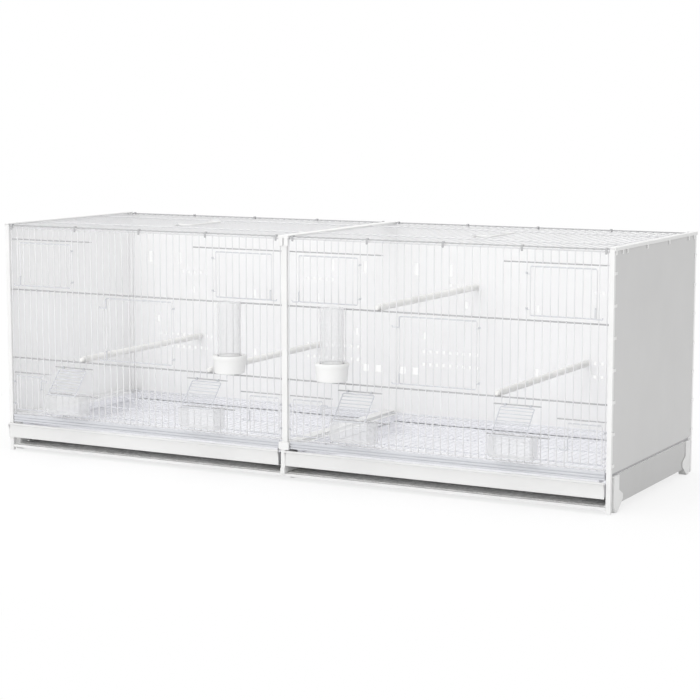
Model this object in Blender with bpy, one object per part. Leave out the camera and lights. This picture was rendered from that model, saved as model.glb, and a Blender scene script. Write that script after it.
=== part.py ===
"""Double bird breeding cage: two cabins side by side in one white frame.

X runs along the length, Y from the front (negative) to the back, and Z up. The origin lies
on the ground under the middle of the whole object, waterers included. All sizes are metres.
"""

import math

import bmesh
import bpy
import numpy as np
from mathutils import Matrix, Vector

# Whole cage
LENGTH = 1.200
DEPTH = 0.401
GAP = 0.0003  # between neighbouring pieces
OVERRUN = 0.004  # of a cutter past what it cuts

# Posts and panels
POST_WIDTH = 0.0080
POST_PROUD = 0.0015  # of the posts in front of the wires
POST_INSIDE = 0.0050  # of the posts behind the wires' front
CENTRE_POST_WIDTH = 0.0100
BACK_CENTRE_WIDTH = 0.0254
PANEL = 0.0015
PANEL_CLIP_PROUD = 0.0012
PANEL_CLIP_LENGTH = 0.0100
PANEL_CLIP_HEIGHT = 0.0050
PANEL_CLIPS = 7

# Base, from the ground up
CORNER_POST_LIFT = 0.0012
RAIL_LIFT = 0.0065
RAIL_HEIGHT = 0.0050
RAIL_DEPTH = 0.0095
BASE_SHEET = 0.0010
LEDGE_RISE = 0.0105  # from the foot of the lower sides to their tray ledges
LEDGE_REACH = 0.0245
LOWER_SIDE_HEIGHT = 0.0480
LOWER_SIDE_START = 0.0365  # from the front of the wires, and the same at the back
BOTTOM_FLANGE = 0.0180
SIDE_SLOT = 0.0050  # open slot between the lower and the upper side panel

# Feet
FOOT_INSIDE = 0.0135  # width of the corner feet
FOOT_FRONT = 0.0120
FOOT_STRIP = 0.0225
FOOT_HEIGHT = 0.0605
FOOT_PLATE_WIDTH = 0.0400
FOOT_PLATE_HEIGHT = 0.0360
FOOT_TIP = 0.0090
CENTRE_FOOT_R = 0.0085
CENTRE_FOOT_TIP_R = 0.0060
CENTRE_FOOT_IN = 0.0275
FOOT_SIDES = 12

# Trays
TRAY_SHORT = 0.0120  # by which a tray's front is narrower than half the cage
TRAY_FRONT_HEIGHT = 0.0270
TRAY_HEIGHT = 0.0210
TRAY_WALL = 0.0015
TRAY_FRONT_WALL = 0.0020
TRAY_LIP = 0.0022
TRAY_LIP_HEIGHT = 0.0035
TRAY_INSET_LEFT = 0.0160  # from the end of the front to the pan
TRAY_INSET_RIGHT = 0.0040
TRAY_REAR_ROOM = 0.0180  # behind a tray's pan, to the back of the cage
CENTRE_SLOT = 0.0020  # from the middle of the cage to the right tray's front

# Wire grids
WIRE = 0.0022
MAIN_WIRE = 0.0030
GRID_WIRES = 43
GRID_END = 0.0034  # from the end of a front grid to its outer wire
GRID_HEIGHT = 0.3511
FLOOR_RAIL_HEIGHT = 0.0140
FLOOR_RAIL_DROP = 0.0060
FLOOR_RAIL_DEPTH = 0.0030
FLOOR_CLEARANCE = 0.0012  # under the front grids
FLOOR_SHORT = 0.0110  # by which the floor grids are shallower than the cage
FLOOR_END = 0.0103  # from the outer faces of the cage to the floor grids

# Middle of the cage
CROSSBAR_WIDTH = 0.0210
CROSSBAR_HEIGHT = 0.0045
CROSSBAR_LEG = 0.0180
CROSSBAR_LEG_WIDTH = 0.0080
CROSSBAR_LEG_SLOT = 0.0020
CROSSBAR_PROUD = 0.0045
BEAM_WEB = 0.0030
BEAM_LEDGE = 0.0530
BEAM_FLANGE = 0.0420
BEAM_TOP_WIDTH = 0.0200
BEAM_TOP_RISE = 0.0045
SADDLE_WIDTH = 0.0195
SADDLE_HEIGHT = 0.0135
SADDLE_PROUD = 0.0062
STRIP_LEFT = 0.0066
STRIP_RIGHT = 0.0015
STRIP_PROUD = 0.0040
BUMP_PROUD = 0.0060
BUMP_HEIGHT = 0.0100

# Top edge
TRIM_LIFT = 0.0013
TRIM = 0.0022
TRIM_WIDTH = 0.0093
TRIM_SIDE = 0.0015
TRIM_SKIRT = 0.0055
TAB_WIDTH = 0.0050
TAB_DROP = 0.0100
CLIP_WIDTH = 0.0056
CLIP_DROP = 0.0055
CLIP_WALL = 0.0022
CLIP_TOP = 0.0020
CLIP_HOLD = 0.0060

# Doors
DOOR_HINGE_GAP = 0.0045
DOOR_FREE_GAP = 0.0035
DOOR_TOP_GAP = 0.0042
DOOR_BOTTOM_GAP = 0.0054
RING_PLAY = 0.0001
RING_WALL = 0.0006
RING_HEIGHT = 0.0030
RING_INSET = 0.0120
LATCH_HEIGHT = 0.0190
LATCH_REACH = 0.0120
LATCH_PROUD = 0.0022

# Flaps and feeder cups
FLAP_WIDTH = 0.0620
FLAP_LENGTH = 0.0610
FLAP_TILT_DEG = 41.0
FLAP_BARS = 6
FLAP_RING_SPACING = 0.0450
FLAP_NECK = 0.0045
CUP_WIDTH = 0.0765
CUP_REACH = 0.0400
CUP_LIFT = 0.0104  # of the feeder cups' foot above that of the front grids
CUP_WALL = 0.0015
CUP_ROUND = 0.0130
CUP_ROUND_STEPS = 4
CUP_LIP = 0.0065

# Waterers
WATERER_R = 0.0290
WATERER_FOOT_R = 0.0265
WATERER_CUP_HEIGHT = 0.0310
WATERER_WALL = 0.0018
WATERER_STANDOFF = 0.0015  # from the wires to the cup
WATERER_LIFT = 0.0106  # of a cup's foot above the underside of the lower main wire
WATERER_ASIDE_LEFT = 0.0050  # of the left cup to the right of its hook
WATERER_ASIDE_RIGHT = -0.0022
TUBE_R = 0.0210
TUBE_WALL = 0.0015
TUBE_HEIGHT = 0.1225
TUBE_SHOULDER = 0.0060
LUG_WIDTH = 0.0080
LUG_HEIGHT = 0.0060  # above the cup's foot
LUG_REACH = 0.0060
ROUND_SIDES = 16

# Perches
PERCH_R = 0.0060
TONGUE_R = 0.0040
TONGUE_LENGTH = 0.0080
PEG_R = 0.0022
PEG_LENGTH = 0.0055
PERCH_REAR_PLAY = 0.0016
PERCH_SIDES = 10

# Handles
HANDLE_R = 0.0020
HANDLE_LENGTH = 0.1200
HANDLE_REACH = 0.0280
HANDLE_BEND = 0.0060
HANDLE_BEND_STEPS = 3
HANDLE_LIFT = 0.0030
EYE_WIDTH = 0.0080
EYE_THICK = 0.0040
EYE_HOLE = 0.0046
EYE_RISE = 0.0060
HANDLE_PLACE_SHARE = 0.45  # of the depth, from the front

# Back panel openings
SMALL_HOLE = 0.0056
TALL_SLOT = (0.0070, 0.0220)
KEYHOLE = (0.0060, 0.0130)
SQUARE_HOLE = (0.0120, 0.0135)

# Heights of the horizontal wires, as shares of a front grid's height
door_top_share = 0.935
upper_share = 0.668
lower_share = 0.303
hinge_share = 0.270
corner_share = 0.223
sill_share = 0.124
level_shares = {
    "door_top": door_top_share,
    "upper": upper_share,
    "lower": lower_share,
    "hinge": hinge_share,
    "corner": corner_share,
    "sill": sill_share,
}
MAIN_LEVELS = ("upper", "lower")

# Horizontal wires that span only some of the uprights: level, first and last upright
PART_WIRES = (
    ("door_top", -21, -8),
    ("door_top", 8, 21),
    ("corner", -21, -15),
    ("corner", 15, 21),
    ("hinge", -14, -8),
    ("hinge", 7, 13),
    ("sill", -15, -7),
    ("sill", 6, 14),
)

# Places of the latches, as shares of a door's height
low_latch_share = 0.0
high_latch_share = 0.83
corner_a_latch_share = 0.62
corner_b_latch_share = 0.30

# Doors: name, first and last upright of the doorway, level below, level above, hinge side,
# and the latches' places with 1 for a foot at their top or 0 for one at their bottom
DOORS = (
    ("upper_door_a", -20, -11, "upper", "door_top", 1, ((low_latch_share, 0),)),
    ("upper_door_b", 11, 20, "upper", "door_top", -1, ((low_latch_share, 0),)),
    ("middle_door", -6, 5, "lower", "upper", 1, ((low_latch_share, 0), (high_latch_share, 0))),
    ("corner_door_a", -21, -16, "bottom", "corner", -1, ((corner_a_latch_share, 1),)),
    ("corner_door_b", 16, 21, "bottom", "corner", 1, ((corner_b_latch_share, 0),)),
)

# Feeding ports: name, first and last upright
PORTS = (("a", -14, -8), ("b", 7, 13))
# The flap and cup of each port sit off its middle by these lengths
PORT_SHIFTS = (-0.0007, 0.0015)

# Half, name, the upright left of the bay that a perch's front end sits in, and its wire
PERCHES = (
    (-1, "perch_left_a", -10, "lower"),
    (-1, "perch_left_b", 10, "lower"),
    (1, "perch_right_a", -9, "upper"),
    (1, "perch_right_b", 7, "lower"),
)
# Half, name, the upright left of the bay that the hook sits in, and the cup's place beside it
WATERERS = ((-1, "left", 14, WATERER_ASIDE_LEFT), (1, "right", -14, WATERER_ASIDE_RIGHT))
SIDES = ((-1, "left"), (1, "right"))

# Back panel holes: bays of the rows, and the rows' drop below the top as shares of the height
UPPER_ROW_BAYS = (8, 9, 10, 11, 12)
LOWER_ROW_BAYS = (8, 9, 10, 11, 12, 13, 14, 15, 16)
LOOSE_BAY = 7
low_row_share = 0.628
slot_row_share = 0.205
key_row_share = 0.352
side_key_share = 0.500
square_row_share = 0.662
TALL_SLOT_PLACES = (0.0420, 0.1130)
KEY_PLACE = 0.1456
SIDE_KEY_PLACE = 0.0600
SQUARE_PLACES = (0.0135, 0.0400)

# Top clips and side tabs, as shares of half a top grid's width and of the depth
clip_shares = (-0.98, -0.485, 0.0, 0.485, 0.98)
tab_shares = (0.012, 0.082, 0.135, 0.369, 0.636, 0.889, 0.962)

# Places that follow from the sizes
CUP_CENTRE_Y = WATERER_STANDOFF + WATERER_R
TRAY_FRONT_WIDTH = LENGTH / 2 - TRAY_SHORT
TRAY_DEPTH = DEPTH - TRAY_REAR_ROOM
FLOOR_DEPTH = DEPTH - FLOOR_SHORT
FRONT = (CUP_CENTRE_Y + WATERER_R - CROSSBAR_PROUD - DEPTH) / 2
BACK = FRONT + DEPTH
END = LENGTH / 2
MIDDLE_Y = FRONT + WIRE / 2
HALF_CENTRE = (END - POST_WIDTH + CENTRE_POST_WIDTH / 2) / 2
GRID_HALF = (END - POST_WIDTH - CENTRE_POST_WIDTH / 2) / 2 - GAP
LAST_WIRE = (GRID_WIRES - 1) // 2
PITCH = (GRID_HALF - GRID_END) / LAST_WIRE

RAIL_TOP = RAIL_LIFT + RAIL_HEIGHT
BASE_Z = RAIL_TOP + GAP
BASE_TOP = BASE_Z + BASE_SHEET
SIDE_Z = BASE_TOP + GAP
LEDGE_Z = SIDE_Z + LEDGE_RISE
TRAY_Z = LEDGE_Z + PANEL + GAP
LOWER_SIDE_TOP = SIDE_Z + LOWER_SIDE_HEIGHT
FLOOR_Z = LOWER_SIDE_TOP + GAP
FLOOR_RAIL_Z = FLOOR_Z - FLOOR_RAIL_DROP
FLOOR_RAIL_TOP = FLOOR_RAIL_Z + FLOOR_RAIL_HEIGHT
GRID_Z = FLOOR_RAIL_TOP + FLOOR_CLEARANCE
GRID_TOP = GRID_Z + GRID_HEIGHT
TOP_Z = GRID_TOP + GAP
PANEL_Z = LOWER_SIDE_TOP + SIDE_SLOT
PANEL_TOP = TOP_Z + WIRE + TRIM_LIFT
INNER_X = CROSSBAR_WIDTH / 2 + GAP
OUTER_X = END - POST_WIDTH - GAP
RING_HOLE = WIRE / math.sqrt(2) + RING_PLAY
RING_OUT = RING_HOLE + RING_WALL
PANEL_FACE = BACK - PANEL


def level(name):
    """Middle height of one of the front grids' horizontal wires."""
    return GRID_Z + level_shares[name] * GRID_HEIGHT


def thickness(name):
    return MAIN_WIRE if name in MAIN_LEVELS else WIRE


def level_top(name):
    return GRID_Z + WIRE if name == "bottom" else level(name) + thickness(name) / 2


def level_bottom(name):
    return level(name) - thickness(name) / 2


def upright(index):
    """Place of one of a front grid's upright wires, from the middle of its half."""
    return index * PITCH


def perch_height(name):
    """Height of a perch whose tongue lies on one of the main wires."""
    return level_top(name) + GAP + TONGUE_R


def bay_place(index):
    """Middle of the bay between an upright and the next one to its right."""
    return upright(index) + PITCH / 2


def clear_scene():
    for obj in list(bpy.data.objects):
        bpy.data.objects.remove(obj)


def finish(name, colour, roughness, metallic=0.0, alpha=1.0):
    material = bpy.data.materials.new(name)
    material.use_nodes = True
    shader = material.node_tree.nodes["Principled BSDF"]
    shader.inputs["Base Color"].default_value = (*colour, 1.0)
    shader.inputs["Roughness"].default_value = roughness
    shader.inputs["Metallic"].default_value = metallic
    shader.inputs["Alpha"].default_value = alpha
    return material


def add_object(name, mesh, material, place=(0, 0, 0)):
    obj = bpy.data.objects.new(name, mesh)
    obj.location = place
    mesh.materials.clear()
    mesh.materials.append(material)
    bpy.context.scene.collection.objects.link(obj)
    return obj


def box_mesh(name, boxes, cuts=()):
    """Mesh of the union of upright boxes, less the cuts, without inner faces.

    Each box is (x0, x1, y0, y1, z0, z1). The boxes' own edges divide space into cells,
    and a face is made wherever a filled cell meets an empty one.
    """
    shapes = np.array([*boxes, *cuts], float)
    edges = [np.unique(np.round(shapes[:, 2 * k : 2 * k + 2], 7)) for k in range(3)]
    filled = np.zeros([len(edge) + 1 for edge in edges], bool)
    for number, shape in enumerate(shapes):
        first = [np.searchsorted(edges[k], shape[2 * k] - 1e-6) + 1 for k in range(3)]
        last = [np.searchsorted(edges[k], shape[2 * k + 1] - 1e-6) + 1 for k in range(3)]
        cells = tuple(slice(a, b) for a, b in zip(first, last))
        filled[cells] = number < len(boxes)
    quads = []
    for axis in range(3):
        lower = np.swapaxes(filled, 0, axis)[:-1]
        upper = np.swapaxes(filled, 0, axis)[1:]
        for facing, cells in ((1, lower & ~upper), (-1, upper & ~lower)):
            place = np.argwhere(np.swapaxes(cells, 0, axis))
            across, along = (axis + 1) % 3, (axis + 2) % 3
            corners = []
            for step_a, step_b in ((0, 0), (1, 0), (1, 1), (0, 1)):
                corner = place.copy()
                corner[:, across] += step_a - 1
                corner[:, along] += step_b - 1
                corners.append(corner)
            quad = np.stack(corners, axis=1)
            quads.append(quad if facing > 0 else quad[:, ::-1])
    quads = np.concatenate(quads)
    indices, faces = np.unique(quads.reshape(-1, 3), axis=0, return_inverse=True)
    points = np.stack([edges[k][indices[:, k]] for k in range(3)], axis=1)
    mesh = bpy.data.meshes.new(name)
    mesh.from_pydata(points.tolist(), [], faces.reshape(-1, 4).tolist())
    return mesh


def box_part(name, boxes, material, cuts=(), origin=(0, 0, 0)):
    """A piece made of upright boxes, with its origin where given."""
    mesh = box_mesh(name, boxes, cuts)
    mesh.transform(Matrix.Translation(-Vector(origin)))
    return add_object(name, mesh, material, origin)


def mirrored(box, side):
    """The box as it is on the right half, or its mirror image on the left half."""
    x0, x1 = sorted((side * box[0], side * box[1]))
    return (x0, x1, *box[2:])


def turned_mesh(name, profile, sides):
    """Solid of revolution about Z: the profile of (radius, height) starts and ends on the axis."""
    work = bmesh.new()
    points = [work.verts.new((radius, 0, height)) for radius, height in profile]
    lines = [work.edges.new(pair) for pair in zip(points, points[1:])]
    bmesh.ops.spin(
        work, geom=points + lines, axis=(0, 0, 1), cent=(0, 0, 0), angle=math.tau, steps=sides
    )
    bmesh.ops.remove_doubles(work, verts=work.verts, dist=1e-6)
    bmesh.ops.recalc_face_normals(work, faces=work.faces)
    mesh = bpy.data.meshes.new(name)
    work.to_mesh(mesh)
    work.free()
    mesh.shade_smooth()
    mesh.set_sharp_from_angle(angle=math.radians(40))
    return mesh


def prism_mesh(name, outline, x0, x1):
    """Solid of an outline of (y, z) points, carried from x0 to x1."""
    work = bmesh.new()
    face = work.faces.new([work.verts.new((x0, y, z)) for y, z in outline])
    moved = bmesh.ops.extrude_face_region(work, geom=[face])["geom"]
    moved = [item for item in moved if isinstance(item, bmesh.types.BMVert)]
    bmesh.ops.translate(work, verts=moved, vec=(x1 - x0, 0, 0))
    bmesh.ops.recalc_face_normals(work, faces=work.faces)
    mesh = bpy.data.meshes.new(name)
    work.to_mesh(mesh)
    work.free()
    return mesh


def combine(obj, mesh, operation):
    """Adds or cuts a mesh given in the object's own frame, through a Boolean modifier."""
    tool = add_object(f"{obj.name}_tool_{len(obj.modifiers)}", mesh, obj.data.materials[0])
    tool.parent = obj
    tool.hide_render = True
    tool.display_type = "WIRE"
    modifier = obj.modifiers.new(operation.title(), "BOOLEAN")
    modifier.operation = operation
    modifier.object = tool


def make_posts(plastic):
    """Six upright posts; the corner posts carry small clips that hold the side panels."""
    clip_pitch = (PANEL_TOP - PANEL_Z) / PANEL_CLIPS
    for depth_name, front in (("front", 1), ("back", -1)):
        edge = FRONT if front > 0 else BACK
        y0, y1 = sorted((edge - front * POST_PROUD, edge + front * POST_INSIDE))
        clip_y = sorted((edge + front * POST_INSIDE / 2, edge + front * PANEL_CLIP_LENGTH))
        for side, side_name in SIDES:
            boxes = [(END - POST_WIDTH, END, y0, y1, CORNER_POST_LIFT, PANEL_TOP)]
            outside = (END + GAP, END + GAP + PANEL_CLIP_PROUD)
            for number in range(PANEL_CLIPS):
                z = PANEL_Z + (number + 0.2) * clip_pitch
                heights = (z, z + PANEL_CLIP_HEIGHT)
                boxes.append((*outside, *clip_y, *heights))
                root_y = sorted((edge, edge + front * POST_INSIDE))
                boxes.append((END - GAP, outside[1], *root_y, *heights))
            boxes = [mirrored(box, side) for box in boxes]
            box_part(f"post_{depth_name}_{side_name}", boxes, plastic)
    half = CENTRE_POST_WIDTH / 2
    inside = FRONT + POST_INSIDE
    saddle_z = TRAY_Z + TRAY_FRONT_HEIGHT + POST_PROUD
    strip = (-STRIP_LEFT, STRIP_RIGHT)
    boxes = [
        (-half, half, FRONT - POST_PROUD, inside, saddle_z, GRID_TOP),
        (*strip, FRONT - STRIP_PROUD, inside, BASE_Z, saddle_z + SADDLE_HEIGHT),
        (*strip, FRONT - BUMP_PROUD, FRONT, BASE_Z, BASE_Z + BUMP_HEIGHT),
        (-SADDLE_WIDTH / 2, SADDLE_WIDTH / 2, FRONT - SADDLE_PROUD, FRONT - POST_PROUD - GAP,
         saddle_z, saddle_z + SADDLE_HEIGHT),
    ]
    box_part("post_front_centre", boxes, plastic)
    half = BACK_CENTRE_WIDTH / 2
    boxes = [(-half, half, BACK - POST_INSIDE, BACK + POST_PROUD, SIDE_Z, GRID_TOP)]
    box_part("post_back_centre", boxes, plastic)


def hole(x, z, width, height):
    """Cut through a back panel, centred on x and z."""
    y = (PANEL_FACE - OVERRUN, BACK + OVERRUN)
    return (x - width / 2, x + width / 2, *y, z - height / 2, z + height / 2)


def back_panel_holes():
    """Cuts of the right back panel: perch holes, hanging slots and squares."""
    height = PANEL_TOP - PANEL_Z
    first = BACK_CENTRE_WIDTH / 2 + GAP
    middle = (first + OUTER_X) / 2

    def drop(share):
        return PANEL_TOP - share * (height + PANEL_Z)

    holes = []
    for mirror in (-1, 1):
        for bay in UPPER_ROW_BAYS:
            x = HALF_CENTRE + mirror * bay_place(bay)
            holes.append(hole(x, perch_height("upper"), SMALL_HOLE, SMALL_HOLE))
        for bay in LOWER_ROW_BAYS:
            x = HALF_CENTRE + mirror * bay_place(bay)
            holes.append(hole(x, perch_height("lower"), SMALL_HOLE, SMALL_HOLE))
            holes.append(hole(x, drop(low_row_share), SMALL_HOLE, SMALL_HOLE))
        edge = middle - mirror * (OUTER_X - first) / 2
        for place in TALL_SLOT_PLACES:
            holes.append(hole(edge + mirror * place, drop(slot_row_share), *TALL_SLOT))
        holes.append(hole(edge + mirror * KEY_PLACE, drop(key_row_share), *KEYHOLE))
        holes.append(hole(edge + mirror * SIDE_KEY_PLACE, drop(side_key_share), *KEYHOLE))
    x = HALF_CENTRE + bay_place(LOOSE_BAY)
    holes.append(hole(x, perch_height("lower"), SMALL_HOLE, SMALL_HOLE))
    holes.append(hole(middle, drop(key_row_share), *KEYHOLE))
    holes.append(hole(middle, drop(low_row_share), *KEYHOLE))
    for place in SQUARE_PLACES:
        holes.append(hole(first + place, drop(square_row_share), *SQUARE_HOLE))
    return holes


def make_panels(sheet):
    """Side panels, lower side channels and the two drilled back panels."""
    y0 = FRONT + POST_INSIDE + GAP
    y1 = BACK - POST_INSIDE - GAP
    wall = (END - PANEL, END)
    low_y = (FRONT + LOWER_SIDE_START, BACK - LOWER_SIDE_START)
    ledge_x = (END - LEDGE_REACH, END)
    channel = [
        (*wall, *low_y, SIDE_Z, LOWER_SIDE_TOP),
        (END - BOTTOM_FLANGE, END, *low_y, SIDE_Z, SIDE_Z + PANEL),
        (*ledge_x, *low_y, LEDGE_Z, LEDGE_Z + PANEL),
        (*ledge_x, *low_y, LOWER_SIDE_TOP - PANEL, LOWER_SIDE_TOP),
    ]
    back = (BACK_CENTRE_WIDTH / 2 + GAP, OUTER_X, PANEL_FACE, BACK, SIDE_Z, GRID_TOP)
    for side, name in SIDES:
        panel = mirrored((*wall, y0, y1, PANEL_Z, PANEL_TOP), side)
        box_part(f"side_panel_{name}", [panel], sheet)
        boxes = [mirrored(box, side) for box in channel]
        box_part(f"lower_side_{name}", boxes, sheet)
        cuts = [mirrored(cut, side) for cut in back_panel_holes()]
        box_part(f"back_panel_{name}", [mirrored(back, side)], sheet, cuts)


def make_base(painted, galvanised, plastic):
    """Front rail, base sheet, centre beam and the six feet."""
    rail_y = (FRONT - POST_PROUD, FRONT - POST_PROUD + RAIL_DEPTH)
    box_part("front_rail", [(-OUTER_X, OUTER_X, *rail_y, RAIL_LIFT, RAIL_TOP)], painted)
    reach = END - FOOT_INSIDE - 2 * GAP
    sheet_y = (FRONT + POST_INSIDE + GAP, BACK - POST_INSIDE - GAP)
    box_part("base_sheet", [(-reach, reach, *sheet_y, BASE_Z, BASE_TOP)], galvanised)

    def bar(width, z0, z1):
        return (-width / 2, width / 2, *sheet_y, z0, z1)

    boxes = [
        bar(BEAM_WEB, SIDE_Z, LOWER_SIDE_TOP),
        bar(BEAM_LEDGE, LEDGE_Z, LEDGE_Z + PANEL),
        bar(BEAM_FLANGE, LOWER_SIDE_TOP - PANEL, LOWER_SIDE_TOP),
        bar(BEAM_TOP_WIDTH, LOWER_SIDE_TOP - PANEL, LOWER_SIDE_TOP + BEAM_TOP_RISE),
    ]
    box_part("floor_beam", boxes, painted)
    for name, mirror, edge in (("front", 1, FRONT), ("back", -1, BACK)):
        for side, side_name in SIDES:
            make_corner_foot(f"foot_{name}_{side_name}", side, mirror, edge, plastic)
        profile = [
            (0, 0),
            (CENTRE_FOOT_TIP_R, 0),
            (CENTRE_FOOT_R, RAIL_TOP),
            (0, RAIL_TOP),
        ]
        mesh = turned_mesh(f"foot_{name}_centre", profile, FOOT_SIDES)
        add_object(mesh.name, mesh, plastic, (0, edge + mirror * CENTRE_FOOT_IN, 0))


def make_corner_foot(name, side, mirror, edge, plastic):
    """Strip up the corner that ends in a short leg, with a wider plate on its outside."""
    strip_end = FOOT_FRONT + FOOT_STRIP
    tip = FOOT_FRONT + (FOOT_STRIP - FOOT_TIP) / 2
    leg = [
        (FOOT_FRONT, FOOT_HEIGHT),
        (strip_end, FOOT_HEIGHT),
        (strip_end, BASE_Z),
        (tip + FOOT_TIP, 0),
        (tip, 0),
        (FOOT_FRONT, BASE_Z),
    ]
    wide = FOOT_FRONT + FOOT_PLATE_WIDTH
    plate = [
        (FOOT_FRONT, FOOT_PLATE_HEIGHT),
        (strip_end, FOOT_PLATE_HEIGHT),
        (wide, FOOT_PLATE_HEIGHT - FOOT_TIP),
        (wide, SIDE_Z + LEDGE_RISE / 2),
        (tip + FOOT_TIP, 0),
        (tip, 0),
        (FOOT_FRONT, BASE_Z),
    ]
    outer = END + GAP + TRIM_SIDE

    def placed(outline):
        return [(edge + mirror * y, z) for y, z in outline]

    spans = sorted((side * (END - FOOT_INSIDE), side * outer))
    obj = add_object(name, prism_mesh(name, placed(leg), *spans), plastic)
    spans = sorted((side * (END + GAP), side * outer))
    combine(obj, prism_mesh(f"{name}_plate", placed(plate), *spans), "UNION")


def front_grid_boxes():
    """Uprights, interrupted at the doorways and feeding ports, and the horizontal wires."""
    y = (FRONT, FRONT + WIRE)
    doorways = [
        (first, last, level_top(below), level_bottom(above))
        for _, first, last, below, above, _, _ in DOORS
    ]
    doorways += [(first, last, level_top("sill"), level_bottom("hinge")) for _, first, last in PORTS]
    boxes = []
    for index in range(-LAST_WIRE, LAST_WIRE + 1):
        x = (upright(index) - WIRE / 2, upright(index) + WIRE / 2)
        z = GRID_Z
        breaks = [way for way in doorways if way[0] < index < way[1]]
        for _, _, low, high in sorted(breaks, key=lambda way: way[2]):
            boxes.append((*x, *y, z, low))
            z = high
        boxes.append((*x, *y, z, GRID_TOP))
    full = (-GRID_HALF, GRID_HALF)
    boxes.append((*full, *y, GRID_Z, GRID_Z + WIRE))
    boxes.append((*full, *y, GRID_TOP - WIRE, GRID_TOP))
    for name in MAIN_LEVELS:
        boxes.append((*full, *y, level_bottom(name), level_top(name)))
    for name, first, last in PART_WIRES:
        x = (upright(first) - WIRE, upright(last) + WIRE)
        boxes.append((*x, *y, level_bottom(name), level_top(name)))
    return boxes


def make_grids(painted):
    """Front grids, the top grids with their clips, and the sliding floor grids."""
    clip_z = TOP_Z + WIRE + CLIP_TOP
    eye_y = FRONT + HANDLE_PLACE_SHARE * DEPTH
    eye_z = TOP_Z + WIRE + HANDLE_LIFT
    centre = (INNER_X + OUTER_X) / 2
    reach = (OUTER_X - INNER_X) / 2
    top = flat_grid(INNER_X, OUTER_X, FRONT, BACK, TOP_Z)
    for share in clip_shares:
        x = (centre + share * reach - CLIP_WIDTH / 2, centre + share * reach + CLIP_WIDTH / 2)
        for edge, mirror in ((FRONT, 1), (BACK, -1)):
            out = edge - mirror * GAP - mirror * CLIP_WALL
            drop = sorted((out, edge - mirror * GAP))
            over = sorted((out, edge + mirror * CLIP_HOLD))
            top.append((*x, *drop, GRID_TOP - CLIP_DROP, clip_z))
            top.append((*x, *over, TOP_Z + WIRE / 2, clip_z))
    cuts = []
    for mirror in (-1, 1):
        y = eye_y + mirror * HANDLE_LENGTH / 2
        eye = (centre - EYE_WIDTH / 2, centre + EYE_WIDTH / 2, y - EYE_THICK / 2, y + EYE_THICK / 2)
        top.append((*eye, TOP_Z, eye_z + EYE_RISE / 2 + EYE_HOLE / 4))
        half = EYE_HOLE / 2
        cuts.append((centre - half, centre + half, *eye[2:], eye_z - half, eye_z + half))
    rail_y = (FRONT - POST_PROUD, FRONT - POST_PROUD + FLOOR_RAIL_DEPTH)
    floor_y = (FRONT - POST_PROUD, FRONT - POST_PROUD + FLOOR_DEPTH)
    floor_x = (INNER_X, END - FLOOR_END)
    floor = flat_grid(*floor_x, *floor_y, FLOOR_Z)
    floor.append((*floor_x, *rail_y, FLOOR_RAIL_Z, FLOOR_RAIL_TOP))
    for side, name in SIDES:
        shift = side * HALF_CENTRE
        boxes = [(x0 + shift, x1 + shift, *rest) for x0, x1, *rest in front_grid_boxes()]
        box_part(f"front_grid_{name}", boxes, painted)
        boxes = [mirrored(box, side) for box in top]
        box_part(f"top_grid_{name}", boxes, painted, [mirrored(cut, side) for cut in cuts])
        box_part(f"floor_grid_{name}", [mirrored(box, side) for box in floor], painted)


def flat_grid(x0, x1, y0, y1, z):
    """Boxes of a level grid: wires along Y, and a wire across at each end."""
    heights = (z, z + WIRE)
    boxes = [(x0, x1, y0, y0 + WIRE, *heights), (x0, x1, y1 - WIRE, y1, *heights)]
    for x in np.linspace(x0, x1 - WIRE, GRID_WIRES):
        boxes.append((x, x + WIRE, y0, y1, *heights))
    return boxes


def make_top_edge(plastic):
    """Crossbar over the middle, with two legs at each end, and the trims on the side panels."""
    y = (FRONT - CROSSBAR_PROUD, BACK + CROSSBAR_PROUD)
    z = (TOP_Z, TOP_Z + CROSSBAR_HEIGHT)
    boxes = [(-CROSSBAR_WIDTH / 2, CROSSBAR_WIDTH / 2, *y, *z)]
    legs_y = (
        (FRONT - CROSSBAR_PROUD, FRONT - POST_PROUD - GAP),
        (BACK + POST_PROUD + GAP, BACK + CROSSBAR_PROUD),
    )
    for leg_y in legs_y:
        for side in (-1, 1):
            x = (CROSSBAR_LEG_SLOT / 2, CROSSBAR_LEG_SLOT / 2 + CROSSBAR_LEG_WIDTH)
            boxes.append(mirrored((*x, *leg_y, z[1] - CROSSBAR_LEG, z[1]), side))
    box_part("top_crossbar", boxes, plastic)
    z0 = PANEL_TOP + GAP
    edge_y = (FRONT - POST_PROUD, BACK + POST_PROUD)
    outside = (END + GAP, END + GAP + TRIM_SIDE)
    trim = [
        (outside[1] - TRIM_WIDTH, outside[1], *edge_y, z0, z0 + TRIM),
        (*outside, *edge_y, z0 + TRIM - TRIM_SKIRT, z0 + TRIM),
    ]
    for share in tab_shares:
        tab_y = FRONT + share * DEPTH - TAB_WIDTH / 2
        trim.append((*outside, tab_y, tab_y + TAB_WIDTH, z0 - TAB_DROP, z0 + TRIM))
    for side, name in SIDES:
        box_part(f"top_trim_{name}", [mirrored(box, side) for box in trim], plastic)


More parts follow.
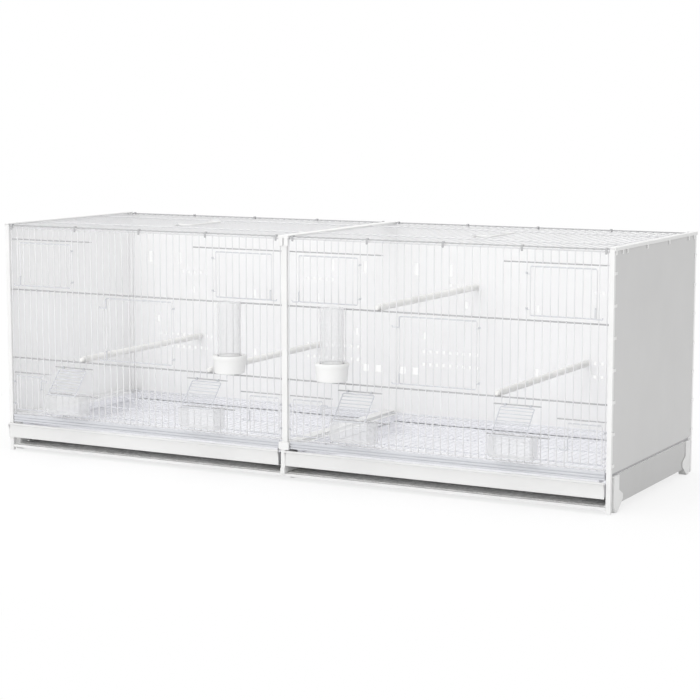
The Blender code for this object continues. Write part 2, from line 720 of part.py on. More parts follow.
def make_trays(plastic):
    """Two pull-out trays: an open pan behind a taller front plate with a lip."""
    for start, name in ((-END, "left"), (CENTRE_SLOT, "right")):
        front_x = (start, start + TRAY_FRONT_WIDTH)
        pan_x = (start + TRAY_INSET_LEFT, front_x[1] - TRAY_INSET_RIGHT)
        plate_back = FRONT - POST_PROUD - GAP
        plate_y = (plate_back - TRAY_FRONT_WALL, plate_back)
        pan_y = (plate_back - TRAY_FRONT_WALL, FRONT + TRAY_DEPTH)
        top = TRAY_Z + TRAY_FRONT_HEIGHT
        boxes = [
            (*front_x, *plate_y, TRAY_Z, top),
            (*front_x, plate_y[0] - TRAY_LIP, plate_back, top - TRAY_LIP_HEIGHT, top),
            (*pan_x, *pan_y, TRAY_Z, TRAY_Z + TRAY_HEIGHT),
        ]
        inside = (
            pan_x[0] + TRAY_WALL,
            pan_x[1] - TRAY_WALL,
            plate_back,
            pan_y[1] - TRAY_WALL,
            TRAY_Z + TRAY_WALL,
            TRAY_Z + TRAY_HEIGHT,
        )
        box_part(f"tray_{name}", boxes, plastic, [inside], (start, FRONT, TRAY_Z))


def door_boxes(first, last, below, above, hinge_side, latches):
    """Boxes and cuts of a wire door, and the place of its hinge, in its half's frame."""
    hinge_x = upright(last if hinge_side > 0 else first)
    free_x = upright(first if hinge_side > 0 else last)
    hinge_edge = hinge_x - hinge_side * DOOR_HINGE_GAP
    free_edge = free_x + hinge_side * DOOR_FREE_GAP
    x0, x1 = sorted((hinge_edge, free_edge))
    z0 = level_top(below) + DOOR_BOTTOM_GAP
    z1 = level_bottom(above) - DOOR_TOP_GAP
    y = (FRONT, FRONT + WIRE)
    boxes = [
        (x0, x1, *y, z0, z0 + WIRE),
        (x0, x1, *y, z1 - WIRE, z1),
        (x0, x0 + WIRE, *y, z0, z1),
        (x1 - WIRE, x1, *y, z0, z1),
    ]
    for index in range(first + 1, last):
        x = upright(index)
        if x0 + 2 * WIRE < x < x1 - 2 * WIRE:
            boxes.append((x - WIRE / 2, x + WIRE / 2, *y, z0, z1))
    cuts = []
    for ring_z in (z0 + RING_INSET, z1 - RING_INSET):
        heights = (ring_z - RING_HEIGHT / 2, ring_z + RING_HEIGHT / 2)
        neck = sorted((hinge_x, hinge_edge - hinge_side * WIRE / 2))
        ring_y = (MIDDLE_Y - RING_OUT, MIDDLE_Y + RING_OUT)
        hole_y = (MIDDLE_Y - RING_HOLE, MIDDLE_Y + RING_HOLE)
        boxes.append((*neck, *y, *heights))
        boxes.append((hinge_x - RING_OUT, hinge_x + RING_OUT, *ring_y, *heights))
        cuts.append((hinge_x - RING_HOLE, hinge_x + RING_HOLE, *hole_y, *heights))
    latch_y = FRONT - GAP - LATCH_PROUD
    for share, foot_high in latches:
        low = z0 + share * (z1 - z0)
        foot = low + foot_high * (LATCH_HEIGHT - WIRE)
        stem = sorted((free_edge, free_edge + hinge_side * WIRE))
        over = sorted((free_edge + hinge_side * WIRE, free_edge - hinge_side * LATCH_REACH))
        boxes.append((*stem, latch_y, MIDDLE_Y, low, low + LATCH_HEIGHT))
        boxes.append((*over, latch_y, FRONT - GAP, foot, foot + WIRE))
    return boxes, cuts, (hinge_x, MIDDLE_Y, z0)


def make_doors(painted):
    """Five wire doors in each half, hung by two rings round an upright of the grid."""
    for side, side_name in SIDES:
        shift = side * HALF_CENTRE
        for name, *rest in DOORS:
            boxes, cuts, origin = door_boxes(*rest)
            boxes = [(box[0] + shift, box[1] + shift, *box[2:]) for box in boxes]
            cuts = [(cut[0] + shift, cut[1] + shift, *cut[2:]) for cut in cuts]
            origin = (origin[0] + shift, *origin[1:])
            box_part(f"{name}_{side_name}", boxes, painted, cuts, origin)


def flap_mesh(name):
    """Flap hanging from the X axis: a ladder of wires below two rings."""
    half = WIRE / 2
    boxes = []
    for side in (-1, 1):
        edge = side * FLAP_WIDTH / 2
        x0, x1 = sorted((edge, edge - side * WIRE))
        boxes.append((x0, x1, -half, half, -FLAP_LENGTH, -FLAP_NECK))
    for z in np.linspace(-FLAP_NECK, -FLAP_LENGTH + WIRE, FLAP_BARS):
        boxes.append((-FLAP_WIDTH / 2, FLAP_WIDTH / 2, -half, half, z - WIRE, z))
    cuts = []
    for side in (-1, 1):
        x = side * FLAP_RING_SPACING / 2
        span = (x - RING_HEIGHT / 2, x + RING_HEIGHT / 2)
        boxes.append((*span, -RING_OUT, RING_OUT, -RING_OUT, RING_OUT))
        boxes.append((*span, -half, half, -FLAP_NECK - half, 0))
        cuts.append((*span, -RING_HOLE, RING_HOLE, -RING_HOLE, RING_HOLE))
    return box_mesh(name, boxes, cuts)


def cup_outlines():
    """Outer outline and hollow of a feeder cup, in front of the wires, as (y, z) points."""
    lip_z = level_top("sill") + GAP
    tilt = math.radians(FLAP_TILT_DEG)
    flap_low = level("hinge") - FLAP_LENGTH * math.cos(tilt) - WIRE / 2 * math.sin(tilt)
    rim = flap_low - 2 * GAP
    base = GRID_Z + CUP_LIFT

    def corner(radius, wall):
        centre = (-CUP_REACH + CUP_ROUND, base + CUP_ROUND)
        turns = np.linspace(0, math.pi / 2, CUP_ROUND_STEPS + 1)
        return [
            (centre[0] - radius * math.sin(turn), centre[1] - radius * math.cos(turn))
            for turn in turns
        ]

    outer = [(CUP_LIP, lip_z + CUP_WALL), (CUP_LIP, lip_z), (-GAP, lip_z), (-GAP, base)]
    outer += corner(CUP_ROUND, 0) + [(-CUP_REACH, rim)]
    back = -GAP - CUP_WALL
    hollow = [(back, rim + OVERRUN), (back, base + CUP_WALL)]
    hollow += corner(CUP_ROUND - CUP_WALL, CUP_WALL) + [(-CUP_REACH + CUP_WALL, rim + OVERRUN)]
    return (
        [(y + FRONT, z) for y, z in outer],
        [(y + FRONT, z) for y, z in hollow],
    )


def make_feeders(painted, clear):
    """Feeding flaps and the cups that hang on the sill wires below them."""
    outer, hollow = cup_outlines()
    hinge_z = level("hinge")
    for side, side_name in SIDES:
        for (port, first, last), shift in zip(PORTS, PORT_SHIFTS):
            x = side * HALF_CENTRE + (upright(first) + upright(last)) / 2 + shift
            name = f"feeding_flap_{port}_{side_name}"
            flap = add_object(name, flap_mesh(name), painted, (x, MIDDLE_Y, hinge_z))
            flap.rotation_euler = (-math.radians(FLAP_TILT_DEG), 0, 0)
            name = f"feeder_cup_{port}_{side_name}"
            span = (x - CUP_WIDTH / 2, x + CUP_WIDTH / 2)
            cup = add_object(name, prism_mesh(name, outer, *span), clear)
            inner = (span[0] + CUP_WALL, span[1] - CUP_WALL)
            combine(cup, prism_mesh(f"{name}_hollow", hollow, *inner), "DIFFERENCE")


def make_waterers(plastic, clear):
    """Turned cups hooked over the lower main wire, each with a clear bottle standing in it."""
    floor = WATERER_WALL
    inner = WATERER_R - WATERER_WALL
    cup_z = level_bottom("lower") + WATERER_LIFT
    cup = [
        (0, 0),
        (WATERER_FOOT_R, 0),
        (WATERER_R, WATERER_WALL * 2),
        (WATERER_R, WATERER_CUP_HEIGHT),
        (inner, WATERER_CUP_HEIGHT),
        (inner, WATERER_WALL * 2),
        (WATERER_FOOT_R - WATERER_WALL, floor),
        (0, floor),
    ]
    tube_in = TUBE_R - TUBE_WALL
    tube = [
        (0, TUBE_HEIGHT),
        (TUBE_R - TUBE_SHOULDER, TUBE_HEIGHT),
        (TUBE_R, TUBE_HEIGHT - TUBE_SHOULDER),
        (TUBE_R, 0),
        (tube_in, 0),
        (tube_in, TUBE_HEIGHT - TUBE_SHOULDER),
        (tube_in - TUBE_SHOULDER, TUBE_HEIGHT - TUBE_WALL),
        (0, TUBE_HEIGHT - TUBE_WALL),
    ]
    for side, name, bay, aside in WATERERS:
        hook_x = side * HALF_CENTRE + bay_place(bay)
        place = (hook_x + aside, FRONT - CUP_CENTRE_Y, cup_z)
        mesh = turned_mesh(f"waterer_cup_{name}", cup, ROUND_SIDES)
        body = add_object(mesh.name, mesh, plastic, place)
        lug_x = (-LUG_WIDTH / 2 - aside, LUG_WIDTH / 2 - aside)
        lug_z = level_top("lower") + GAP - cup_z
        lug_y = (CUP_CENTRE_Y - WATERER_STANDOFF - WATERER_WALL, CUP_CENTRE_Y + LUG_REACH)
        lug = [(*lug_x, *lug_y, lug_z, LUG_HEIGHT)]
        combine(body, box_mesh(f"{mesh.name}_lug", lug), "UNION")
        mesh = turned_mesh(f"waterer_bottle_{name}", tube, ROUND_SIDES)
        add_object(mesh.name, mesh, clear, (*place[:2], cup_z + floor + GAP))


def make_perches(plastic):
    """Round perches: a tongue over a main wire in front, a peg in the back panel."""
    start = FRONT + WIRE + GAP
    end = PANEL_FACE - PERCH_REAR_PLAY
    length = end - start
    profile = [
        (0, -TONGUE_LENGTH),
        (TONGUE_R, -TONGUE_LENGTH),
        (TONGUE_R, 0),
        (PERCH_R, 0),
        (PERCH_R, length),
        (PEG_R, length),
        (PEG_R, length + PEG_LENGTH),
        (0, length + PEG_LENGTH),
    ]
    for side, name, bay, wire in PERCHES:
        mesh = turned_mesh(name, profile, PERCH_SIDES)
        mesh.transform(Matrix.Translation((0, 0, -length)))
        mesh.transform(Matrix.Rotation(-math.pi / 2, 4, "X"))
        place = (side * HALF_CENTRE + bay_place(bay), end, perch_height(wire))
        add_object(name, mesh, plastic, place)


def handle_points():
    """Half of a handle's path from the middle of its bar to the end of one pin."""
    leg = HANDLE_LENGTH / 2 - EYE_THICK / 2 - HANDLE_BEND
    points = [(HANDLE_REACH, 0)]
    for centre, start in (
        ((HANDLE_REACH - HANDLE_BEND, leg - HANDLE_BEND), 0),
        ((HANDLE_BEND, leg + HANDLE_BEND), -math.pi / 2),
    ):
        for step in range(HANDLE_BEND_STEPS + 1):
            turn = start + (1 if start == 0 else -1) * math.pi / 2 * step / HANDLE_BEND_STEPS
            points.append((centre[0] + HANDLE_BEND * math.cos(turn),
                           centre[1] + HANDLE_BEND * math.sin(turn)))
    points.append((0, HANDLE_LENGTH / 2 + EYE_THICK))
    return points


def make_handles(painted):
    """Wire bails that lie flat on the top grids."""
    half = handle_points()
    path = [(x, -y) for x, y in reversed(half[1:])] + half
    for side, name in SIDES:
        curve = bpy.data.curves.new(f"handle_{name}", "CURVE")
        curve.dimensions = "3D"
        curve.bevel_depth = HANDLE_R
        curve.bevel_resolution = 1
        curve.use_fill_caps = True
        line = curve.splines.new("POLY")
        line.points.add(len(path) - 1)
        for point, (x, y) in zip(line.points, path):
            point.co = (x, y, 0, 1)
        place = (
            side * (INNER_X + OUTER_X) / 2,
            FRONT + HANDLE_PLACE_SHARE * DEPTH,
            TOP_Z + WIRE + HANDLE_LIFT,
        )
        add_object(curve.name, curve, painted, place)


def main():
    clear_scene()
    painted = finish("white_wire", (0.86, 0.86, 0.86), 0.35)
    panel = finish("white_panel", (0.80, 0.80, 0.79), 0.45)
    plastic = finish("white_plastic", (0.88, 0.88, 0.87), 0.40)
    clear = finish("clear_plastic", (0.90, 0.92, 0.92), 0.10, alpha=0.35)
    galvanised = finish("galvanised", (0.35, 0.35, 0.33), 0.35, metallic=0.9)
    make_posts(plastic)
    make_panels(panel)
    make_base(painted, galvanised, plastic)
    make_grids(painted)
    make_top_edge(plastic)
    make_trays(plastic)
    make_doors(painted)
    make_feeders(painted, clear)
    make_waterers(plastic, clear)
    make_perches(plastic)
    make_handles(painted)


main()
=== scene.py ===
"""Looks of a bird breeding cage with two cabins, built as an add-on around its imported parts.

X runs along the length, Y from the front (negative) to the back, and Z up. All sizes are metres.
"""

import math

import bpy
import numpy as np
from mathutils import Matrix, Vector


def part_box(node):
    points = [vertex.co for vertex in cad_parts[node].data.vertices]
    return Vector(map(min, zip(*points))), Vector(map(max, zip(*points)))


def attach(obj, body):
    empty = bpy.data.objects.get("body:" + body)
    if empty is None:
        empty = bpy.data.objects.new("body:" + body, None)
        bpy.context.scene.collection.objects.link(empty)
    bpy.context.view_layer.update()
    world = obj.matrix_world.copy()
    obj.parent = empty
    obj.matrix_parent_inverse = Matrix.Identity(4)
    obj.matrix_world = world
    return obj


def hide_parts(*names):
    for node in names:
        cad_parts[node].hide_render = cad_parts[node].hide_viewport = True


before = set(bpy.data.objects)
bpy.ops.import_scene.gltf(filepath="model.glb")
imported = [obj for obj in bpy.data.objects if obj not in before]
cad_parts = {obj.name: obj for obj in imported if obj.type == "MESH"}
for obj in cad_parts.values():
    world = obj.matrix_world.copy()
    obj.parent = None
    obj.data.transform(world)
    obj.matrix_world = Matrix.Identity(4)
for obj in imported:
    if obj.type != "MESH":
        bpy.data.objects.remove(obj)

bl_info = {
    "name": "Bird breeding cage",
    "version": (1, 0, 0),
    "blender": (4, 5, 0),
    "location": "3D View > Sidebar > Cage",
    "description": "Builds the looks of a bird breeding cage with two cabins",
    "category": "Add Mesh",
}


def box(node):
    """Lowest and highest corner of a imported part, as an array of two rows."""
    return np.array([tuple(corner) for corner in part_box(node)])


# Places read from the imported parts
GRID_BOX = box("front_grid_right")
FRONT = GRID_BOX[0, 1]
WIRE = GRID_BOX[1, 1] - FRONT
GRID_Z = GRID_BOX[0, 2]
GRID_TOP = GRID_BOX[1, 2]
GRID_HALF = (GRID_BOX[1, 0] - GRID_BOX[0, 0]) / 2
HALF_CENTRE = (GRID_BOX[1, 0] + GRID_BOX[0, 0]) / 2
END_X = box("side_panel_right")[1, 0]
BACK = box("back_panel_right")[1, 1]
MIDDLE_Y = FRONT + WIRE / 2

# Sizes shared by several pieces
GAP = 0.0003  # between neighbouring parts
TOP_Z = GRID_TOP + GAP
MAIN_WIRE = 0.0030
SINK = 0.0003  # by which welded wires lie in each other
GRID_WIRES = 43  # lying wires of each roof and floor grid
FRAME_BEND = 0.0030  # corners of the wire frames of doors and flaps
COIL_LENGTH = 0.0032
COIL_TURNS = 2.5
COIL_POINTS = 31
COIL_PLAY = 0.00015  # between a coil and the wire inside it
SOFT_END = 0.0005  # length over which a bar's ends are rounded

# Spacing of the upright wires and the places that are counted in them
LAST_WIRE = 21
GRID_END = 0.0034
PITCH = (GRID_HALF - GRID_END) / LAST_WIRE
# Middles of the level wires as shares of the front grid's height
LEVEL_SHARES = {
    "door_top": 0.935,
    "upper": 0.668,
    "lower": 0.303,
    "hinge": 0.270,
    "corner": 0.223,
    "sill": 0.124,
}
# Level wires that span some uprights only: level, first and last upright
PART_WIRES = (
    ("door_top", -21, -8),
    ("door_top", 8, 21),
    ("corner", -21, -15),
    ("corner", 15, 21),
    ("hinge", -14, -8),
    ("hinge", 7, 13),
    ("sill", -15, -7),
    ("sill", 6, 14),
)
# Name, first and last upright, level below and above, hinge side, and the latches: place as a
# share of the door's height, and 1 where the foot is at the top
DOORS = (
    ("upper_door_a", -20, -11, "upper", "door_top", 1, ((0.0, 0),)),
    ("upper_door_b", 11, 20, "upper", "door_top", -1, ((0.0, 0),)),
    ("middle_door", -6, 5, "lower", "upper", 1, ((0.0, 0), (0.83, 0))),
    ("corner_door_a", -21, -16, "bottom", "corner", -1, ((0.62, 1),)),
    ("corner_door_b", 16, 21, "bottom", "corner", 1, ((0.30, 0),)),
)
# Gaps between a door's frame and the wires round it, and the sizes of its coils and latches
HINGE_GAP = 0.0045
FREE_GAP = 0.0035
GAP_BELOW = 0.0054
GAP_ABOVE = 0.0042
COIL_INSET = 0.0109
LATCH_HEIGHT = 0.019
# Openings of the feeding flaps: name, first and last upright
PORTS = (("a", -14, -8), ("b", 7, 13))
SIDES = ((-1, "left"), (1, "right"))
FIXED = "frame"  # body of all parts that don't move


def level(name):
    """Middle height of a level wire of the front grids."""
    return GRID_Z + LEVEL_SHARES[name] * (GRID_TOP - GRID_Z)


def thickness(name):
    """Thickness of a level wire of the front grids."""
    return MAIN_WIRE if name in ("upper", "lower") else WIRE


def level_top(name):
    """Height of the upper face of a level wire."""
    return GRID_Z + WIRE if name == "bottom" else level(name) + thickness(name) / 2


def level_bottom(name):
    """Height of the lower face of a level wire."""
    return level(name) - thickness(name) / 2


# Shapes


def at(x, y, z):
    """Points from their places along X, Y and Z, of which any may be one number for all."""
    return np.stack(np.broadcast_arrays(x, y, z), axis=-1).astype(float)


def unit(vectors):
    """Vectors of length one along the given vectors."""
    return vectors / np.linalg.norm(vectors, axis=-1, keepdims=True)


def circle(radius, sides=12):
    """Outline of a round section: radius times cosine and sine of evenly spaced turns."""
    turns = np.arange(sides) * 2 * math.pi / sides
    return radius * np.stack([np.cos(turns), np.sin(turns)], axis=-1)


def outline(x0, x1, y0, y1, radius, steps=4):
    """Rectangle with round corners, as points (x, y) in one turn."""
    radius = min(radius, (x1 - x0) / 2, (y1 - y0) / 2)
    turns = np.linspace(0, math.pi / 2, steps + 1) + np.arange(4)[:, None] * math.pi / 2
    centre_x = np.array([x1 - radius, x0 + radius, x0 + radius, x1 - radius])[:, None]
    centre_y = np.array([y1 - radius, y1 - radius, y0 + radius, y0 + radius])[:, None]
    points = [centre_x + radius * np.cos(turns), centre_y + radius * np.sin(turns)]
    return np.stack(points, axis=-1).reshape(-1, 2)


def bend(points, radius, steps=5, closed=False):
    """Path with round corners: each corner is a parabola between two points near it."""
    points = np.asarray(points, float)
    before = np.roll(points, 1, axis=0) - points
    after = np.roll(points, -1, axis=0) - points
    lengths = [np.linalg.norm(side, axis=1, keepdims=True) for side in (before, after)]
    cut = np.minimum(radius, np.minimum(*lengths) * 0.49)
    start = (points + before / lengths[0] * cut)[:, None]
    end = (points + after / lengths[1] * cut)[:, None]
    share = np.linspace(0, 1, steps + 1)[None, :, None]
    middle = points[:, None]
    curve = start * (1 - share) ** 2 + 2 * middle * share * (1 - share) + end * share**2
    if closed:
        return curve.reshape(-1, 3)
    return np.concatenate([points[:1], curve[1:-1].reshape(-1, 3), points[-1:]])


def wire_frame(x0, x1, y, z0, z1):
    """Closed path round an upright rectangle with bent corners."""
    return bend([(x0, y, z0), (x1, y, z0), (x1, y, z1), (x0, y, z1)], FRAME_BEND, closed=True)


def tilted(points, angle, centre_y, centre_z):
    """Points turned about a line along X."""
    y = points[..., 1] - centre_y
    z = points[..., 2] - centre_z
    return at(points[..., 0], centre_y + y * math.cos(angle) - z * math.sin(angle),
              centre_z + y * math.sin(angle) + z * math.cos(angle))


class Shape:
    """Gathers closed skins, each a stack of rings of points, into one mesh."""

    def __init__(self):
        self.points = []
        self.quads = []
        self.tris = []
        self.size = 0
        self.finish = 0
        self.finishes = [[], []]

    def skins(self, rings, closed=False):
        """Closed skins over rings of points (skin, ring, point, xyz).

        Neighbouring rings are joined by four-sided faces. The first and the last ring are
        filled by a fan round their mean point, or joined to each other if closed is set.
        """
        rings = np.asarray(rings, float)
        if rings.ndim == 3:
            rings = rings[None]
        skins, count, around = rings.shape[:3]
        index = np.arange(count * around).reshape(count, around)
        index = np.concatenate([index, index[:1]]) if closed else index
        beside = np.roll(index, -1, axis=1)
        quads = np.stack([index[:-1], beside[:-1], beside[1:], index[1:]], axis=-1)
        quads = quads.reshape(-1, 4)
        points = rings.reshape(skins, -1, 3)
        tris = np.zeros((0, 3), int)
        if not closed:
            poles = rings[:, (0, -1)].mean(axis=2)
            points = np.concatenate([points, poles], axis=1)
            first = np.full(around, count * around)
            tris = np.concatenate([
                np.stack([beside[0], index[0], first], axis=-1),
                np.stack([index[-1], beside[-1], first + 1], axis=-1),
            ])
        # A skin whose faces look inward has a volume below zero, and its faces are turned
        halves = np.concatenate([quads[:, :3], quads[:, [0, 2, 3]], tris])
        corners = points[:, halves]
        volume = np.einsum(
            "pti,pti->p", corners[:, :, 0], np.cross(corners[:, :, 1], corners[:, :, 2])
        )
        shift = self.size + np.arange(skins)[:, None, None] * points.shape[1]
        inward = (volume < 0)[:, None, None]
        self.quads.append((np.where(inward, quads[:, ::-1], quads) + shift).reshape(-1, 4))
        self.tris.append((np.where(inward, tris[:, ::-1], tris) + shift).reshape(-1, 3))
        finish = np.broadcast_to(self.finish, len(index) - 1)
        self.finishes[0].append(np.tile(np.repeat(finish, around), skins))
        self.finishes[1].append(np.full(skins * len(tris), finish[0]))
        self.points.append(points.reshape(-1, 3))
        self.size += points.shape[0] * points.shape[1]
        return self

    def rods(self, starts, ends, radius, sides=8):
        """Straight round rods: circles along each line, a little smaller at its ends."""
        starts, ends = np.broadcast_arrays(np.atleast_2d(starts), np.atleast_2d(ends))
        length = np.linalg.norm(ends - starts, axis=1)
        along = unit(ends - starts)
        flat = np.abs(along[:, 2:]) < 0.9
        helper = np.where(flat, (0.0, 0.0, 1.0), (1.0, 0.0, 0.0))
        side = unit(np.cross(along, helper))
        other = np.cross(along, side)
        ring = circle(radius, sides)
        round_part = ring[:, 0, None] * side[:, None] + ring[:, 1, None] * other[:, None]
        soft = np.minimum(radius * 0.4, length / 4)
        steps = np.stack([soft * 0, soft, length - soft, length], axis=1)
        sizes = np.array([0.66, 1.0, 1.0, 0.66])
        middle = starts[:, None] + steps[..., None] * along[:, None]
        return self.skins(middle[:, :, None] + sizes[:, None, None] * round_part[:, None])

    def level_rods(self, x0, x1, y, z, radius, sides=8):
        """Straight round rods along X."""
        return self.rods(at(x0, y, z), at(x1, y, z), radius, sides)

    def sweep(self, path, section, up, closed=False):
        """Section carried along a path: its first size lies across it, its second along up.

        The ends of an open path are a little smaller than the rest.
        """
        path = np.asarray(path, float)
        if closed:
            along = np.roll(path, -1, axis=0) - np.roll(path, 1, axis=0)
        else:
            along = np.gradient(path, axis=0)
        along = unit(along)
        side = unit(np.cross(np.asarray(up, float), along))
        over = np.cross(along, side)
        sizes = 1.0
        if not closed:
            tip = np.abs(section).max() * 0.35
            path = np.concatenate([path[:1], path[:1] + along[:1] * tip, path[1:-1],
                                   path[-1:] - along[-1:] * tip, path[-1:]])
            side = np.concatenate([side[:1], side, side[-1:]])
            over = np.concatenate([over[:1], over, over[-1:]])
            sizes = np.ones((len(path), 1, 1))
            sizes[[0, -1]] = 0.7
        across, along_up = section[:, 0, None], section[:, 1, None]
        flat = across * side[:, None] + along_up * over[:, None]
        return self.skins(path[:, None] + sizes * flat, closed)

    def lathe(self, profile, centre, sides=48, closed=False):
        """Round body, or ring: each profile point (radius, height) makes one level circle."""
        profile = np.asarray(profile, float)
        flat = profile[:, None, :1] * circle(1, sides)
        rings = at(flat[..., 0], flat[..., 1], profile[:, 1:]) + np.asarray(centre, float)
        return self.skins(rings, closed)

    def loft(self, rings):
        """Body from level outlines: pairs of an outline (x, y) and its height."""
        return self.skins([at(*points.T, z) for points, z in rings])

    def bar(self, section, x0, x1, share, flat_share):
        """Bar along X: a section (y, z) carried from end to end, a little smaller at its ends."""
        centre = section.mean(axis=0)
        rings = []
        for x, size in ((x0, share), (x0 + SOFT_END, 1), (x1 - SOFT_END, 1), (x1, share)):
            points = centre + (section - centre) * (size, 1 - (1 - size) * flat_share)
            rings.append(at(x, *points.T))
        return self.skins(rings)

    def block(self, low, high, edge, steps=2):
        """Block with round edges: level round-cornered outlines that shrink near both ends."""
        low, high = np.minimum(low, high), np.maximum(low, high)
        edge = min(edge, (high - low).min() / 2 * 0.98)
        turns = np.linspace(0, math.pi / 2, steps + 1)
        shrink, rise = edge * (1 - np.sin(turns)), edge * (1 - np.cos(turns))
        rings = []
        for inset, z in (*zip(shrink, low[2] + rise), *zip(shrink[::-1], high[2] - rise[::-1])):
            sides = (low[0] + inset, high[0] - inset, low[1] + inset, high[1] - inset)
            rings.append((outline(*sides, max(edge - inset, edge * 0.25), 3), z))
        return self.loft(rings)

    def coil(self, tail, centre, toward, along, core, wire):
        """Coil round a core wire, after a straight tail: a circle that climbs evenly."""
        radius = core + wire + COIL_PLAY
        turn = np.linspace(0, COIL_TURNS * 2 * math.pi, COIL_POINTS)[:, None]
        flat = radius * (np.sin(turn) * (0, 1, 0) - np.cos(turn) * toward)
        climb = (turn / turn[-1] - 0.5) * COIL_LENGTH * along
        path = np.concatenate([[tail], centre + flat + climb])
        return self.sweep(path, circle(wire, 6), along)

    def mapped(self, change):
        """Moves every point by a function of all points."""
        self.points = [change(np.concatenate(self.points))]
        return self


def make(name, shape, materials, body, stands_for=(), sharp=40):
    """Object of a shape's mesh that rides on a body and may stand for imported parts.

    Faces made while shape.finish was 1 take the second of two materials; it may hold one
    number for each ring.
    """
    points = np.concatenate(shape.points)
    quads = np.concatenate(shape.quads)
    tris = np.concatenate(shape.tris)
    corners = np.concatenate([quads.ravel(), tris.ravel()])
    starts = np.concatenate([
        np.arange(len(quads)) * 4, len(quads) * 4 + np.arange(len(tris)) * 3
    ])
    finishes = np.concatenate(shape.finishes[0] + shape.finishes[1])
    mesh = bpy.data.meshes.new(name)
    mesh.vertices.add(len(points))
    mesh.vertices.foreach_set("co", points.astype(np.float32).ravel())
    mesh.loops.add(len(corners))
    mesh.loops.foreach_set("vertex_index", corners.astype(np.int32))
    mesh.polygons.add(len(starts))
    mesh.polygons.foreach_set("loop_start", starts.astype(np.int32))
    mesh.update(calc_edges=True)
    mesh.validate()
    mesh.shade_smooth()
    mesh.set_sharp_from_angle(angle=math.radians(sharp))
    for material in materials if isinstance(materials, tuple) else (materials,):
        mesh.materials.append(material)
    mesh.polygons.foreach_set("material_index", finishes.astype(np.int32))
    piece = bpy.data.objects.new(name, mesh)
    bpy.context.scene.collection.objects.link(piece)
    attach(piece, body)
    if stands_for:
        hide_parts(*stands_for)
    return piece


def dress(node, material, edge, segments=2):
    """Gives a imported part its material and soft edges."""
    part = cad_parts[node]
    if not part.material_slots:
        raise RuntimeError(f"{node} has no material slot")
    for place in part.material_slots:
        place.link = "OBJECT"
        place.material = material
    part.modifiers.new("Weld", "WELD").merge_threshold = 0.00001
    bevel = part.modifiers.new("Bevel", "BEVEL")
    bevel.width = edge
    bevel.segments = segments
    bevel.limit_method = "ANGLE"
    bevel.angle_limit = math.radians(35)
    bevel.use_clamp_overlap = True
    bevel.harden_normals = True


# Materials


def node(tree, kind, links=None, **settings):
    """Shader node with its settings, and its inputs linked or set by name or number."""
    made = tree.nodes.new(kind)
    for name, value in settings.items():
        setattr(made, name, value)
    for name, value in (links or {}).items():
        if isinstance(value, bpy.types.NodeSocket):
            tree.links.new(value, made.inputs[name])
        else:
            made.inputs[name].default_value = value
    return made


def calc(tree, operation, *values):
    """Result of a Math node."""
    return node(tree, "ShaderNodeMath", dict(enumerate(values)), operation=operation).outputs[0]


def mix(tree, share, first, second):
    """Colour between two colours."""
    return node(tree, "ShaderNodeMix", {"Factor": share, 6: first, 7: second},
                data_type="RGBA").outputs[2]


def noise(tree, vector, scale, detail, **links):
    """Grey of a noise texture."""
    return node(tree, "ShaderNodeTexNoise", {
        "Vector": vector, "Scale": scale, "Detail": detail, **links,
    }).outputs["Fac"]


def ranged(tree, value, low=0.0, high=1.0, to_low=0.0, to_high=1.0, **settings):
    """Value carried from one range to another."""
    return node(tree, "ShaderNodeMapRange", {
        "Value": value, "From Min": low, "From Max": high, "To Min": to_low, "To Max": to_high,
    }, **settings).outputs["Result"]


def group_tree(name, inputs, outputs):
    """New node group with named inputs (name, kind, default) and outputs (name, kind)."""
    tree = bpy.data.node_groups.new(name, "ShaderNodeTree")
    for label, kind, default in inputs:
        socket = tree.interface.new_socket(label, in_out="INPUT", socket_type=f"NodeSocket{kind}")
        if default is not None:
            socket.default_value = default
    for label, kind in outputs:
        tree.interface.new_socket(label, in_out="OUTPUT", socket_type=f"NodeSocket{kind}")
    return tree, tree.nodes.new("NodeGroupInput").outputs, tree.nodes.new("NodeGroupOutput").inputs


def coat_group():
    """Painted or moulded surface: clouds of a second colour, and a fine grain in the gloss."""
    tree, given, out = group_tree(
        "cage_coat",
        (
            ("Vector", "Vector", None),
            ("Colour", "Color", (0.8, 0.8, 0.8, 1)),
            ("Shade", "Color", (0.7, 0.7, 0.7, 1)),
            ("Clouds", "Float", 14.0),
            ("Grain", "Float", 900.0),
            ("Roughness", "Float", 0.4),
            ("Spread", "Float", 0.1),
        ),
        (("Colour", "Color"), ("Roughness", "Float"), ("Height", "Float")),
    )
    clouds = noise(tree, given["Vector"], given["Clouds"], 4.0, Roughness=0.6)
    grain = noise(tree, given["Vector"], given["Grain"], 2.0)
    patches = ranged(tree, clouds, 0.35, 0.75)
    rough = calc(tree, "MULTIPLY_ADD", grain, given["Spread"], given["Roughness"])
    tree.links.new(mix(tree, patches, given["Colour"], given["Shade"]), out["Colour"])
    tree.links.new(rough, out["Roughness"])
    tree.links.new(grain, out["Height"])
    return tree


